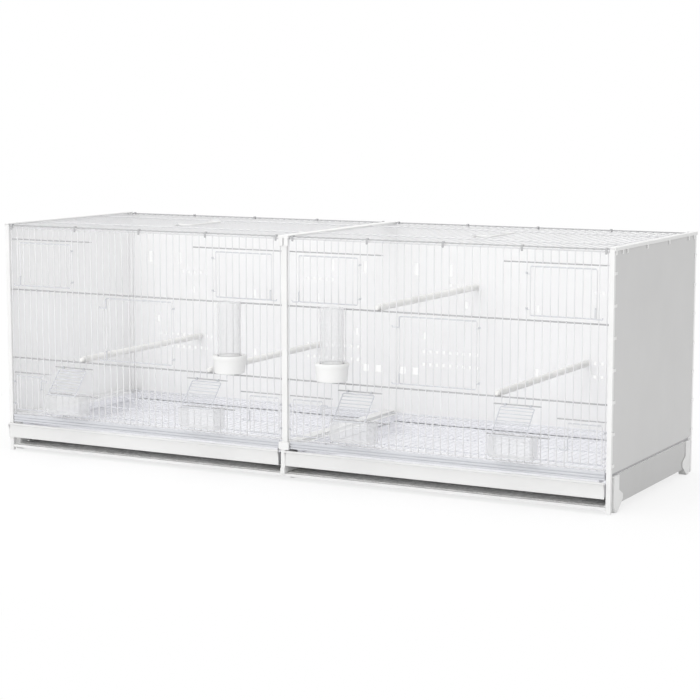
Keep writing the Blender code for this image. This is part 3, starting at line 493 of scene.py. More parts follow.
def spangle_group():
    """Zinc sheet: crystals a few millimetres wide, each with its own grey and gloss."""
    tree, given, out = group_tree(
        "cage_spangle",
        (
            ("Vector", "Vector", None),
            ("Colour", "Color", (0.3, 0.3, 0.3, 1)),
            ("Shade", "Color", (0.2, 0.2, 0.2, 1)),
            ("Crystals", "Float", 160.0),
        ),
        (("Colour", "Color"), ("Roughness", "Float"), ("Height", "Float")),
    )
    cells = node(tree, "ShaderNodeTexVoronoi",
                 {"Vector": given["Vector"], "Scale": given["Crystals"]}).outputs
    grey = node(tree, "ShaderNodeSeparateColor", {"Color": cells["Color"]}).outputs
    tree.links.new(mix(tree, grey[0], given["Colour"], given["Shade"]), out["Colour"])
    tree.links.new(ranged(tree, grey[1], to_low=0.38, to_high=0.55), out["Roughness"])
    tree.links.new(cells["Distance"], out["Height"])
    return tree


def sheet_group():
    """Light and dark bands of a rolled sheet, drawn out along its length, and its ripple."""
    tree, given, out = group_tree(
        "cage_sheet",
        (
            ("Vector", "Vector", None),
            ("Stretch", "Vector", (1.0, 1.0, 1.0)),
            ("Scale", "Float", 6.0),
        ),
        (("Mask", "Float"), ("Height", "Float")),
    )
    drawn = node(tree, "ShaderNodeVectorMath",
                 {0: given["Vector"], 1: given["Stretch"]}, operation="MULTIPLY").outputs[0]
    bands = noise(tree, drawn, given["Scale"], 3.0)
    tree.links.new(ranged(tree, bands, 0.3, 0.7), out["Mask"])
    tree.links.new(noise(tree, drawn, given["Scale"], 0.0), out["Height"])
    return tree


def dust_group():
    """Fine dust that lies on faces that look up, in loose patches."""
    tree, given, out = group_tree(
        "cage_dust",
        (("Vector", "Vector", None), ("Amount", "Float", 0.2)),
        (("Mask", "Float"),),
    )
    normal = node(tree, "ShaderNodeNewGeometry").outputs["Normal"]
    up = node(tree, "ShaderNodeSeparateXYZ", {0: normal}).outputs[2]
    loose = ranged(tree, noise(tree, given["Vector"], 45.0, 5.0), 0.4, 0.8)
    both = calc(tree, "MULTIPLY", ranged(tree, up, 0.5), loose)
    tree.links.new(calc(tree, "MULTIPLY", both, given["Amount"]), out["Mask"])
    return tree


def use_group(tree, name, build, links):
    """Outputs of a node group, which is built the first time that it is asked for."""
    group = bpy.data.node_groups.get(name) or build()
    return node(tree, "ShaderNodeGroup", links, node_tree=group).outputs


def shader(name):
    """New material: its node tree, its Principled shader and its object coordinates."""
    material = bpy.data.materials.new(name)
    material.use_nodes = True
    tree = material.node_tree
    place = node(tree, "ShaderNodeTexCoord").outputs["Object"]
    return material, tree, tree.nodes["Principled BSDF"], place


def surfaced(tree, surface, colour, rough, height, strength, distance):
    """Feeds a Principled shader its colour, its roughness and its bumps."""
    bumps = node(tree, "ShaderNodeBump",
                 {"Height": height, "Strength": strength, "Distance": distance})
    tree.links.new(colour, surface.inputs["Base Color"])
    tree.links.new(rough, surface.inputs["Roughness"])
    tree.links.new(bumps.outputs["Normal"], surface.inputs["Normal"])


def pale(colour, share):
    """Colour scaled by a share."""
    return tuple(value * share for value in colour)


def chosen(name, share=1.0):
    """Colour from the scene's settings, scaled by a share."""
    return pale(getattr(bpy.context.scene.cage_finish, f"{name}_colour"), share)


def coated(name, colour, shade, rough=0.4, spread=0.12, clouds=14.0, grain=900.0,
           bump=0.15, depth=0.0002, coat=0.0, dust=0.0, stretch=None, banding=0.0):
    """Painted or moulded material, with bands of a rolled sheet and dust where asked.

    The shade is a colour, or the share of the first colour that is left in it.
    """
    found = bpy.data.materials.get(name)
    if found:
        return found
    if not isinstance(shade, tuple):
        shade = pale(colour, shade)
    material, tree, surface, place = shader(name)
    out = use_group(tree, "cage_coat", coat_group, {
        "Vector": place, "Colour": (*colour, 1), "Shade": (*shade, 1), "Clouds": clouds,
        "Grain": grain, "Roughness": rough, "Spread": spread,
    })
    mixed, height = out["Colour"], out["Height"]
    if banding:
        bands = use_group(tree, "cage_sheet", sheet_group,
                          {"Vector": place, "Stretch": stretch, "Scale": 5.0})
        amount = calc(tree, "MULTIPLY", bands["Mask"], banding)
        mixed = mix(tree, amount, mixed, (*pale(shade, 0.86), 1))
        height = calc(tree, "MULTIPLY_ADD", bands["Height"], 6.0, height)
    if dust:
        lying = use_group(tree, "cage_dust", dust_group, {"Vector": place, "Amount": dust})
        mixed = mix(tree, lying["Mask"], mixed, (0.55, 0.53, 0.50, 1))
    surfaced(tree, surface, mixed, out["Roughness"], height, bump, depth)
    surface.inputs["Coat Weight"].default_value = coat
    surface.inputs["Coat Roughness"].default_value = 0.25
    return material


FINE = {"bump": 0.25, "depth": 0.0001}  # bumps of a smooth coat
WIRE_COAT = {**FINE, "spread": 0.15, "grain": 1400}
SHEET_COAT = {"spread": 0.1, "bump": 0.2, "depth": 0.0002}


def paint():
    """White plastic coat of the uprights and of the roof's wires."""
    return coated("wire_coat", chosen("wire"), 0.93, rough=0.32, coat=0.25, **WIRE_COAT)


def level_shade_paint():
    """Coat of the front's level wires, the roof's edge wires and clips, and the guides' lips: dark
    grey as painted shade, on wires and clips that are white.
    """
    return coated("level_coat", chosen("level"), 0.9, rough=0.36, coat=0.15, **WIRE_COAT)


def rail_shade_paint():
    """Coat of the doors' frames, coils and latches, the flaps, and the floor grids' rails: grey as
    painted shade on white wire, with a little dust.
    """
    return coated("rail_coat", chosen("rail"), 0.94, rough=0.34, coat=0.15, dust=0.1,
                  **WIRE_COAT)


def floor_paint():
    """Coat of the floor grids' wires, which catch some dust."""
    return coated("grid_coat", chosen("grid"), 0.95, rough=0.35, coat=0.2, dust=0.15,
                  **WIRE_COAT)


def back_panel():
    """Painted sheet of the back panels, which face into the cage; on the rear posts its extra
    white is painted light.
    """
    return coated("back_sheet", chosen("inner"), 0.98, rough=0.42, clouds=5, grain=1100,
                  stretch=(1, 1, 4), banding=0.05, **SHEET_COAT)


def two_sided(name, outer, inner, **settings):
    """Coated sheet of a side, whiter on the faces that look into the cage; the outside's grey is
    painted shade on a white sheet.
    """
    found = bpy.data.materials.get(name)
    if found:
        return found
    skin = 0.0008  # depth that counts as outside, from the outer face
    material = coated(name, outer, 0.95, **settings)
    tree = material.node_tree
    base = tree.nodes["Principled BSDF"].inputs["Base Color"]
    place = next(item for item in tree.nodes if item.bl_idname == "ShaderNodeTexCoord")
    across = node(tree, "ShaderNodeSeparateXYZ", {0: place.outputs["Object"]}).outputs[0]
    inside = calc(tree, "LESS_THAN", calc(tree, "ABSOLUTE", across), END_X - skin)
    tree.links.new(mix(tree, inside, base.links[0].from_socket, (*inner, 1)), base)
    return material


def side_panel():
    """Painted sheet of the side panels, its outside grey as painted shade."""
    return two_sided("side_sheet", chosen("panel"), chosen("inner"), rough=0.42, clouds=5,
                     grain=1100, stretch=(1, 2, 2), banding=0.14, **SHEET_COAT)


def lower_panel():
    """Painted sheet of the lower sides, duller than the panels, its outside grey as painted shade.
    """
    return two_sided("lower_sheet", chosen("panel", 0.86), chosen("inner"), rough=0.36,
                     clouds=7, stretch=(1, 6, 1), banding=0.15, dust=0.1, **SHEET_COAT)


def plastic():
    """Moulded white plastic of posts, trims, feet, drinkers and handles."""
    return coated("white_moulding", chosen("plastic"), 0.95, rough=0.38, spread=0.14,
                  clouds=22, grain=1600, bump=0.3, depth=0.0001, dust=0.06)


def tray_plastic():
    """Glossier plastic of the trays' fronts, with light dust on them."""
    return coated("tray_moulding", chosen("plastic", 0.93), 0.96, rough=0.28, clouds=9,
                  grain=1300, coat=0.15, dust=0.18, stretch=(0.4, 2, 2), banding=0.06, **FINE)


def pan_plastic():
    """Plastic of the trays' pans and of the strips above them, cooler than the fronts, and lighter
    than them as painted light in the shade under the floor grids.
    """
    return coated("pan_moulding", chosen("pan"), 0.97, rough=0.35, clouds=6, grain=1300,
                  dust=0.1, stretch=(0.4, 2, 2), banding=0.06, **FINE)


def weld():
    """Dark grey of the weld spots: painted shade where the uprights cross the thick wires."""
    return coated("weld_spots", (0.42, 0.42, 0.41), (0.30, 0.30, 0.30), rough=0.45, spread=0.2,
                  clouds=300, bump=0.3, depth=0.0001)


def perch_plastic():
    """Pale grey plastic of the perches, worn dull on top."""
    return coated("perch_moulding", chosen("perch"), 0.82, rough=0.5, spread=0.2, clouds=30,
                  grain=700, bump=0.5, dust=0.25, stretch=(6, 0.5, 6), banding=0.3)


def zinc():
    """Galvanised sheet with its crystals."""
    found = bpy.data.materials.get("zinc_sheet")
    if found:
        return found
    material, tree, surface, place = shader("zinc_sheet")
    out = use_group(tree, "cage_spangle", spangle_group, {
        "Vector": place, "Colour": (*chosen("zinc"), 1), "Shade": (*chosen("zinc", 0.72), 1),
    })
    surfaced(tree, surface, out["Colour"], out["Roughness"], out["Height"], 0.2, 0.0002)
    surface.inputs["Metallic"].default_value = 0.3
    return material


def clear():
    """Clear plastic, faintly rippled and scuffed, denser where it is seen edge on."""
    found = bpy.data.materials.get("clear_moulding")
    if found:
        return found
    material, tree, surface, place = shader("clear_moulding")
    out = use_group(tree, "cage_coat", coat_group, {
        "Vector": place, "Colour": (0.83, 0.83, 0.84, 1), "Shade": (0.77, 0.775, 0.785, 1),
        "Clouds": 40.0, "Grain": 260.0, "Roughness": 0.06, "Spread": 0.08,
    })
    edge = node(tree, "ShaderNodeLayerWeight", {"Blend": 0.35}).outputs["Facing"]
    density = ranged(tree, edge, to_low=0.14, to_high=0.55)
    tree.links.new(density, surface.inputs["Alpha"])
    surfaced(tree, surface, out["Colour"], out["Roughness"], out["Height"], 0.25, 0.0004)
    surface.inputs["IOR"].default_value = 1.45
    return material


# Sizes and colours


class CageWires(bpy.types.PropertyGroup):
    """Thickness of the wires and of what is bent from them."""

    upright: bpy.props.FloatProperty(
        name="Uprights", description="Radius of the upright wires",
        default=0.00095, min=0.0003, max=0.0011, unit="LENGTH", precision=5)
    cross: bpy.props.FloatProperty(
        name="Cross wires", description="Radius of the level wires and of the doors' frames",
        default=0.0011, min=0.0003, max=0.0011, unit="LENGTH", precision=5)
    main: bpy.props.FloatProperty(
        name="Main wires", description="Radius of the two thick level wires",
        default=0.00135, min=0.0005, max=0.0015, unit="LENGTH", precision=5)
    lying: bpy.props.FloatProperty(
        name="Lying wires", description="Radius of the close wires of roof and floor",
        default=0.0006, min=0.0003, max=0.0011, unit="LENGTH", precision=5)
    latch: bpy.props.FloatProperty(
        name="Latches", description="Radius of the latches' wire",
        default=0.0009, min=0.0003, max=0.0011, unit="LENGTH", precision=5)
    ring: bpy.props.FloatProperty(
        name="Hinge coils", description="Radius of the wire that winds round a hinge",
        default=0.0006, min=0.0002, max=0.0008, unit="LENGTH", precision=5)
    handle: bpy.props.FloatProperty(
        name="Handles", description="Radius of the carrying handles",
        default=0.0018, min=0.001, max=0.002, unit="LENGTH", precision=5)


class CageFinish(bpy.types.PropertyGroup):
    """Colours of the materials."""

    wire_colour: bpy.props.FloatVectorProperty(
        name="Wires", description="Colour of the uprights and of the roof's wires",
        default=(0.76, 0.76, 0.77), min=0, max=1, size=3, subtype="COLOR")
    # Painted shade: the level wires are white like the uprights, and this grey stands for the
    # shade on them.
    level_colour: bpy.props.FloatVectorProperty(
        name="Level wires", description="Colour of the front's level wires and the roof's edges",
        default=(0.46, 0.46, 0.47), min=0, max=1, size=3, subtype="COLOR")
    # Painted shade: these wires and rails are white, and this grey stands for the shade on them.
    rail_colour: bpy.props.FloatVectorProperty(
        name="Rails", description="Colour of door frames, latches, flaps and floor grid rails",
        default=(0.62, 0.63, 0.66), min=0, max=1, size=3, subtype="COLOR")
    grid_colour: bpy.props.FloatVectorProperty(
        name="Floor grids", description="Colour of the floor grids' wires",
        default=(0.86, 0.87, 0.90), min=0, max=1, size=3, subtype="COLOR")
    # Painted shade: the side panels are white, and this grey on their outside stands for the shade
    # on them.
    panel_colour: bpy.props.FloatVectorProperty(
        name="Side panels", description="Colour of the side panels' outside",
        default=(0.635, 0.633, 0.63), min=0, max=1, size=3, subtype="COLOR")
    inner_colour: bpy.props.FloatVectorProperty(
        name="Inside", description="Colour of the back panels and of the sides' inside",
        default=(0.92, 0.92, 0.92), min=0, max=1, size=3, subtype="COLOR")
    plastic_colour: bpy.props.FloatVectorProperty(
        name="White plastic", description="Colour of posts, trims, trays' fronts and feet",
        default=(0.80, 0.80, 0.795), min=0, max=1, size=3, subtype="COLOR")
    # Painted light: the pans are the same plastic as the trays' fronts, made lighter against the
    # shade under the floor grids.
    pan_colour: bpy.props.FloatVectorProperty(
        name="Tray pans", description="Colour of the trays behind their fronts",
        default=(0.92, 0.92, 0.95), min=0, max=1, size=3, subtype="COLOR")
    perch_colour: bpy.props.FloatVectorProperty(
        name="Perches", description="Colour of the perches",
        default=(0.88, 0.875, 0.86), min=0, max=1, size=3, subtype="COLOR")
    zinc_colour: bpy.props.FloatVectorProperty(
        name="Zinc", description="Colour of the galvanised sheet",
        default=(0.88, 0.88, 0.86), min=0, max=1, size=3, subtype="COLOR")


class CageStage(bpy.types.PropertyGroup):
    """Camera, lamps and floor."""

    lens: bpy.props.FloatProperty(
        name="Lens", description="Focal length on a 36 mm sensor", default=98.8, min=20, max=300)
    key: bpy.props.FloatProperty(
        name="Key lamp", description="Power of the lamp in front", default=31, min=0)
    fill: bpy.props.FloatProperty(
        name="Fill lamp", description="Power of the lamp above", default=26, min=0)
    world: bpy.props.FloatProperty(
        name="World light", description="Strength of the light from all around",
        default=0.85, min=0, max=2)
    floor_colour: bpy.props.FloatVectorProperty(
        name="Floor", description="Colour of the floor",
        default=(0.9, 0.9, 0.9), min=0, max=1, size=3, subtype="COLOR")


def behind(wires, radius):
    """Place along Y of a wire that is welded behind the uprights."""
    return MIDDLE_Y + wires.upright + radius - SINK


def doorways():
    """First and last upright and the heights of every opening in a front grid."""
    ways = [(first, last, level_top(below), level_bottom(above))
            for _, first, last, below, above, _, _ in DOORS]
    return ways + [(first, last, level_top("sill"), level_bottom("hinge"))
                   for _, first, last in PORTS]


def upright_ends(middle):
    """Lower and upper ends of a front grid's uprights, which openings cut into lengths."""
    ways = doorways()
    starts, ends = [], []
    for index in range(-LAST_WIRE, LAST_WIRE + 1):
        breaks = sorted(way[2:] for way in ways if way[0] < index < way[1])
        heights = [GRID_Z, *(z for pair in breaks for z in pair), GRID_TOP]
        starts += [(middle + index * PITCH, MIDDLE_Y, z) for z in heights[::2]]
        ends += [(middle + index * PITCH, MIDDLE_Y, z) for z in heights[1::2]]
    return starts, ends


class CAGE_OT_front_grids(bpy.types.Operator):
    """Builds the two front grids: uprights in front, level wires welded behind them"""

    bl_idname = "cage.front_grids"
    bl_label = "Front grids"

    def execute(self, context):
        wires = context.scene.cage_wires
        for side, name in SIDES:
            self.grid(wires, name, side * HALF_CENTRE)
            self.spots(wires, name, side * HALF_CENTRE)
        return {"FINISHED"}

    def grid(self, wires, name, middle):
        """Uprights with the thin and the two thick level wires."""
        x0, x1 = middle - GRID_HALF, middle + GRID_HALF
        cross_y = behind(wires, wires.cross)
        shape = Shape().rods(*upright_ends(middle), wires.upright)
        for z in (GRID_Z + WIRE / 2, GRID_TOP - WIRE / 2):
            shape.level_rods(x0, x1, cross_y, z, wires.cross)
        # The part wires and the thick main wires take the level coat, dark grey as painted shade.
        shape.finish = 1
        for wire, first, last in PART_WIRES:
            shape.level_rods(middle + first * PITCH - WIRE / 2, middle + last * PITCH + WIRE / 2,
                             MIDDLE_Y if wire == "hinge" else cross_y, level(wire), wires.cross)
        for wire in ("upper", "lower"):
            shape.level_rods(x0, x1, behind(wires, wires.main), level(wire), wires.main, 12)
        make(f"front_wires_{name}", shape, (paint(), level_shade_paint()), FIXED,
             [f"front_grid_{name}"])

    def spots(self, wires, name, middle):
        """Short upright beads where the uprights cross the two thick level wires, dark grey as
        painted shade at the crossings.
        """
        places = middle + np.arange(-LAST_WIRE, LAST_WIRE + 1) * PITCH
        half, radius = wires.main + 0.0006, 0.0009
        beads = Shape()
        for wire in ("upper", "lower"):
            low = at(places, MIDDLE_Y + wires.upright, level(wire) - half)
            beads.rods(low, low + (0, 0, 2 * half), radius, 6)
        make(f"weld_spots_{name}", beads, weld(), FIXED)


def add_latch(shape, wires, free_edge, hinge_side, foot, head):
    """Bent wire latch: a lip, its foot, an upright part and a head that runs to the frame."""
    lip, corner = 0.0030, 0.0016
    play, sink = 0.0002, 0.0006  # ahead of the uprights, and into the frame's wire
    hold, reach = 0.0012, 0.0118  # over the door, and past its free edge
    y = MIDDLE_Y - wires.upright - wires.latch - play
    inner = free_edge + hinge_side * hold
    outer = free_edge - hinge_side * reach
    path = bend([
        (outer, y, foot + math.copysign(lip, head - foot)),
        (outer, y, foot),
        (inner, y, foot),
        (inner, y, head),
        (inner, behind(wires, wires.cross) - sink, head),
    ], corner)
    ahead = np.abs(np.gradient(path, axis=0))
    inward = ahead[:, 1:2] > ahead[:, :1] + ahead[:, 2:]
    inward[-6:] = True
    up = np.where(inward, (1.0, 0.0, 0.0), (0.0, 1.0, 0.0))
    shape.sweep(path, circle(wires.latch, 8), up)


def door_shape(middle, first, last, below, above, hinge_side, latches):
    """Wire door: a bent frame behind its uprights, coils at the hinge and bent latches."""
    wires = bpy.context.scene.cage_wires
    hinge, free = (last, first) if hinge_side > 0 else (first, last)
    hinge_x = middle + hinge * PITCH
    hinge_edge = hinge_x - hinge_side * (HINGE_GAP + WIRE / 2)
    free_edge = middle + free * PITCH + hinge_side * (FREE_GAP + WIRE / 2)
    x0, x1 = sorted((hinge_edge, free_edge))
    z0 = level_top(below) + GAP_BELOW + WIRE / 2
    z1 = level_bottom(above) - GAP_ABOVE - WIRE / 2
    frame_y = behind(wires, wires.cross)
    loop = wire_frame(x0, x1, frame_y, z0, z1)
    ahead = np.abs(np.roll(loop, -1, axis=0) - loop)
    shape = Shape()
    # The frame's level sides take the rails' coat, grey as painted shade; its upright sides keep
    # the white coat.
    shape.finish = (ahead[:, 0] > ahead[:, 2]).astype(int)
    shape.sweep(loop, circle(wires.cross, 8), (0, 1, 0), closed=True)
    shape.finish = 0
    places = middle + np.arange(first + 1, last) * PITCH
    places = places[(places > x0 + FRAME_BEND) & (places < x1 - FRAME_BEND)]
    shape.rods(at(places, MIDDLE_Y, z0 - wires.cross), at(places, MIDDLE_Y, z1 + wires.cross),
               wires.upright)
    # Coils and latches take the rails' coat, grey as painted shade.
    shape.finish = 1
    for z in (z0 + COIL_INSET, z1 - COIL_INSET):
        tail = (hinge_edge, frame_y - 0.0004, z - 0.0017)  # starts in the frame's wire
        shape.coil(tail, (hinge_x, MIDDLE_Y, z), (hinge_side, 0, 0), (0, 0, 1), wires.upright,
                   wires.ring)
    for share, foot_high in latches:
        low = z0 - WIRE / 2 + share * (z1 - z0 + WIRE) + wires.latch
        high = low + LATCH_HEIGHT - 2 * wires.latch
        foot, head = (high, low) if foot_high else (low, high)
        add_latch(shape, wires, free_edge, hinge_side, foot, head)
    return shape


class CAGE_OT_doors(bpy.types.Operator):
    """Builds the ten wire doors with their hinge coils and latches"""

    bl_idname = "cage.doors"
    bl_label = "Doors"

    def execute(self, context):
        for side, side_name in SIDES:
            for name, *rest in DOORS:
                body = f"{name}_{side_name}"
                make(f"wires_{body}", door_shape(side * HALF_CENTRE, *rest),
                     (paint(), rail_shade_paint()), body, [body])
        return {"FINISHED"}


class CAGE_OT_feeders(bpy.types.Operator):
    """Builds the four feeding flaps and the clear cups that hang below them"""

    bl_idname = "cage.feeders"
    bl_label = "Feeders"

    def execute(self, context):
        for _, side_name in SIDES:
            for port, _, _ in PORTS:
                self.flap(context.scene.cage_wires, f"feeding_flap_{port}_{side_name}")
                self.cup(f"feeder_cup_{port}_{side_name}")
        return {"FINISHED"}

    def flap(self, wires, body):
        """Ladder of thin wires on a bent frame, hung in two coils and turned about its hinge."""
        low, high = box(body)
        middle = (low[0] + high[0]) / 2
        half = (high[0] - low[0]) / 2 - wires.cross
        x0, x1 = middle - half, middle + half
        hinge_z = level("hinge")
        top = hinge_z - 0.0050
        foot = hinge_z - 0.0610 + wires.cross
        tilt = math.radians(41)
        rungs, rung_radius, rung_sink = 7, 0.0008, 0.0004
        coil_reach = 0.0225
        heights = np.linspace(top, foot, rungs + 2)[1:-1]
        shape = Shape().sweep(wire_frame(x0, x1, MIDDLE_Y, top, foot), circle(wires.cross, 8),
                              (0, 1, 0), closed=True)
        shape.level_rods(x0, x1, MIDDLE_Y - wires.cross - rung_sink, heights, rung_radius)
        for x in (middle - coil_reach, middle + coil_reach):
            shape.coil((x - COIL_LENGTH / 2, MIDDLE_Y, top), (x, MIDDLE_Y, hinge_z),
                       (0, 0, 1), (1, 0, 0), wires.cross, wires.ring)
        shape.mapped(lambda points: tilted(points, -tilt, MIDDLE_Y, hinge_z))
        # The whole flap takes the rails' coat, grey as painted shade.
        make(f"wires_{body}", shape, rail_shade_paint(), body, [body])

    def cup(self, body):
        """Open cup: level outlines whose front edge follows a quarter circle at the foot."""
        low, high = box(body)
        bottom, rim = low[2], high[2]
        back = FRONT - GAP
        round_foot = 0.013
        lip = 0.0004  # by which the rim stands out
        wall = 0.0017  # from the rim's outside to the inside
        base = 0.0015

        def ring(z, inset, radius=0.003):
            """Outline at a height, set in by a distance."""
            drop = np.clip((bottom + round_foot - z) / round_foot, 0, 1)
            set_back = round_foot * (1 - math.sqrt(1 - drop**2))
            return outline(low[0] + inset, high[0] - inset, low[1] + set_back + inset,
                           back - inset, radius)

        heights = bottom + round_foot * (1 - np.cos(np.linspace(0.15, math.pi / 2, 7)))
        levels = [(ring(bottom, 0.0012), bottom)]
        levels += [(ring(z, lip), z) for z in (*heights, rim - 0.0035, rim - 0.0032)]
        levels += [(ring(rim, inset), rim - drop) for inset, drop in (
            (0.0, 0.0028), (0.0, 0.0006), (0.0005, 0.0), (0.0012, 0.0), (wall, 0.0006))]
        levels += [(ring(z, wall, 0.0025), z) for z in heights[-2::-1] + base]
        levels.append((ring(bottom + base, 0.003, 0.002), bottom + 0.0014))
        shape = Shape().loft(levels)
        hook_z = level_top("sill") + GAP
        hook_top, end, soft = hook_z + 0.0014, high[1], 0.0005
        for x0, x1 in ((low[0] + 0.004, low[0] + 0.030), (high[0] - 0.030, high[0] - 0.004)):
            shape.block((x0, back - 0.0008, hook_z), (x1, end, hook_top), soft)
            shape.block((x0, end - 0.0013, hook_z - 0.0025), (x1, end, hook_top), soft)
        make(f"clear_{body}", shape, clear(), body, [body])


def waved(radii, marks, depth, count, power, sides):
    """Outlines whose radius waves round the turn where a mark is one.

    The radius loses a share of itself: depth times a power of the wave, which is half of one
    plus the cosine of count times the turn.
    """
    turn = np.arange(sides) * 2 * math.pi / sides
    wave = depth * (0.5 + 0.5 * np.cos(turn * count)) ** power
    reach = radii[:, None] * (1 - marks[:, None] * wave)
    return reach[..., None] * circle(1, sides)


class CAGE_OT_waterers(bpy.types.Operator):
    """Builds the two drinkers: a turned cup with its hook and a ribbed clear bottle"""

    bl_idname = "cage.waterers"
    bl_label = "Waterers"

    def execute(self, context):
        for side, name in SIDES:
            low, high = box(f"waterer_bottle_{name}")
            x, y, _ = (low + high) / 2
            radius = (high[0] - low[0]) / 2
            self.cup(name, side * HALF_CENTRE, x, y, low[2] - 0.0021, radius)
            self.bottle(name, x, y, low[2], high[2], radius)
            self.stopper(name, x, y, low[2] + 0.0266, radius)
        return {"FINISHED"}

    def cup(self, name, grid_x, x, y, z, radius):
        """Turned cup, the ring that holds the bottle, and the hook between two uprights."""
        low, high = box(f"waterer_cup_{name}")
        height = high[2] - z
        outside = (high[0] - low[0]) / 2
        cup = Shape().lathe([
            (0.0250, 0.0), (0.0260, 0.0003), (0.0265, 0.0012), (0.0268, 0.0040),
            (0.0279, height - 0.0080), (0.0282, height - 0.0074),
            (outside - 0.0004, height - 0.0068), (outside, height - 0.0058),
            (outside, height - 0.0010), (outside - 0.0005, height - 0.0002),
            (outside - 0.0011, height), (outside - 0.0017, height - 0.0006),
            (0.0262, height - 0.0070), (0.0254, 0.0050), (0.0245, 0.0018),
        ], (x, y, z), 64)
        bay = round((x - grid_x) / PITCH - 0.5) + 0.5
        hook_x = grid_x + bay * PITCH
        root = y + outside - 0.0034
        soft, arm_half = 0.0005, 0.0012
        for arm_x in (hook_x - 0.0028, hook_x + 0.0028):
            cup.block((arm_x - arm_half, root, z + 0.0006),
                      (arm_x + arm_half, high[1], z + 0.0058), soft)
        cup.block((hook_x - 0.0040, high[1] - 0.0012, low[2]),
                  (hook_x + 0.0040, high[1], z + 0.0060), soft)
        bore = radius * 0.985 + 0.0007
        rim = height - 0.0018
        cup.lathe([(bore, rim), (0.0266, rim), (0.0270, rim + 0.0005), (0.0268, rim + 0.0010),
                   (bore + 0.0004, rim + 0.0012), (bore, rim + 0.0008)],
                  (x, y, z), 64, closed=True)
        make(f"drinker_cup_{name}", cup, plastic(), f"waterer_cup_{name}",
             [f"waterer_cup_{name}"])

    def bottle(self, name, x, y, foot, top, radius):
        """Bottle: circles down its outside and up its inside, with shallow flutes outside."""
        # Share of the radius, height, and 1 where it is fluted
        size, z, marks = np.array([
            (0.10, top - 0.0010, 0), (0.66, top - 0.0010, 0), (0.70, top, 0), (0.86, top, 0),
            (0.93, top - 0.0004, 0), (0.985, top - 0.0020, 0), (1.0, top - 0.0045, 0),
            (1.0, top - 0.0085, 0), (0.985, top - 0.0120, 1), (0.985, foot + 0.0330, 1),
            (0.985, foot + 0.0290, 0), (0.94, foot + 0.0240, 0), (0.94, foot + 0.0006, 0),
            (0.91, foot, 0), (0.875, foot + 0.0006, 0), (0.875, foot + 0.0240, 0),
            (0.925, foot + 0.0290, 0), (0.925, foot + 0.0330, 0), (0.925, top - 0.0120, 0),
            (0.935, top - 0.0085, 0), (0.925, top - 0.0045, 0), (0.88, top - 0.0024, 0),
            (0.62, top - 0.0024, 0), (0.10, top - 0.0024, 0),
        ]).T
        flat = waved(size * radius, marks, 0.020, 16, 2, 96)
        shape = Shape().skins(at(x + flat[..., 0], y + flat[..., 1], z[:, None]))
        make(f"drinker_bottle_{name}", shape, clear(), f"waterer_bottle_{name}",
             [f"waterer_bottle_{name}"])

    def stopper(self, name, x, y, z, radius):
        """Turned stopper in the foot of the bottle."""
        inner = radius * 0.895 - 0.0005
        shape = Shape().lathe([
            (inner - 0.0008, 0.0), (inner, 0.0005), (inner, 0.0012),
            (inner - 0.0006, 0.0016), (inner - 0.0040, 0.0018), (inner - 0.0060, 0.0010),
        ], (x, y, z), 48)
        make(f"drinker_stopper_{name}", shape, plastic(), f"waterer_bottle_{name}")


class CAGE_OT_perches(bpy.types.Operator):
    """Builds the four perches: ribbed rods with a slim front end and a rear peg"""

    bl_idname = "cage.perches"
    bl_label = "Perches"

    def execute(self, context):
        for _, side_name in SIDES:
            for place in "ab":
                self.perch(f"perch_{side_name}_{place}")
        return {"FINISHED"}

    def perch(self, body):
        """Rod along Y on a thick level wire: circles, ribbed between the two ends."""
        low, high = box(body)
        x = (low[0] + high[0]) / 2
        z = level_top("upper" if high[2] > level("upper") else "lower") + 0.0043
        start, end = FRONT + 0.0050, BACK - 0.0031
        # Place along Y, radius, and 1 where it is ribbed
        y, radii, marks = np.array([
            (start, 0.0048, 0), (start + 0.0008, 0.0056, 0), (start + 0.0030, 0.0057, 0),
            (start + 0.0040, 0.0059, 1), (end - 0.0040, 0.0059, 1), (end - 0.0030, 0.0057, 0),
            (end - 0.0008, 0.0056, 0), (end, 0.0048, 0),
        ]).T
        flat = waved(radii, marks, 0.07, 12, 1, 48)
        shape = Shape().skins(at(x + flat[..., 0], y[:, None], z + flat[..., 1]))
        hidden = 0.001  # length of each end that lies in the rod
        shape.rods((x, low[1], z), (x, start + hidden, z), 0.0039, 16)
        shape.rods((x, end - hidden, z), (x, high[1], z), 0.0021, 12)
        make(f"rod_{body}", shape, perch_plastic(), body, [body])


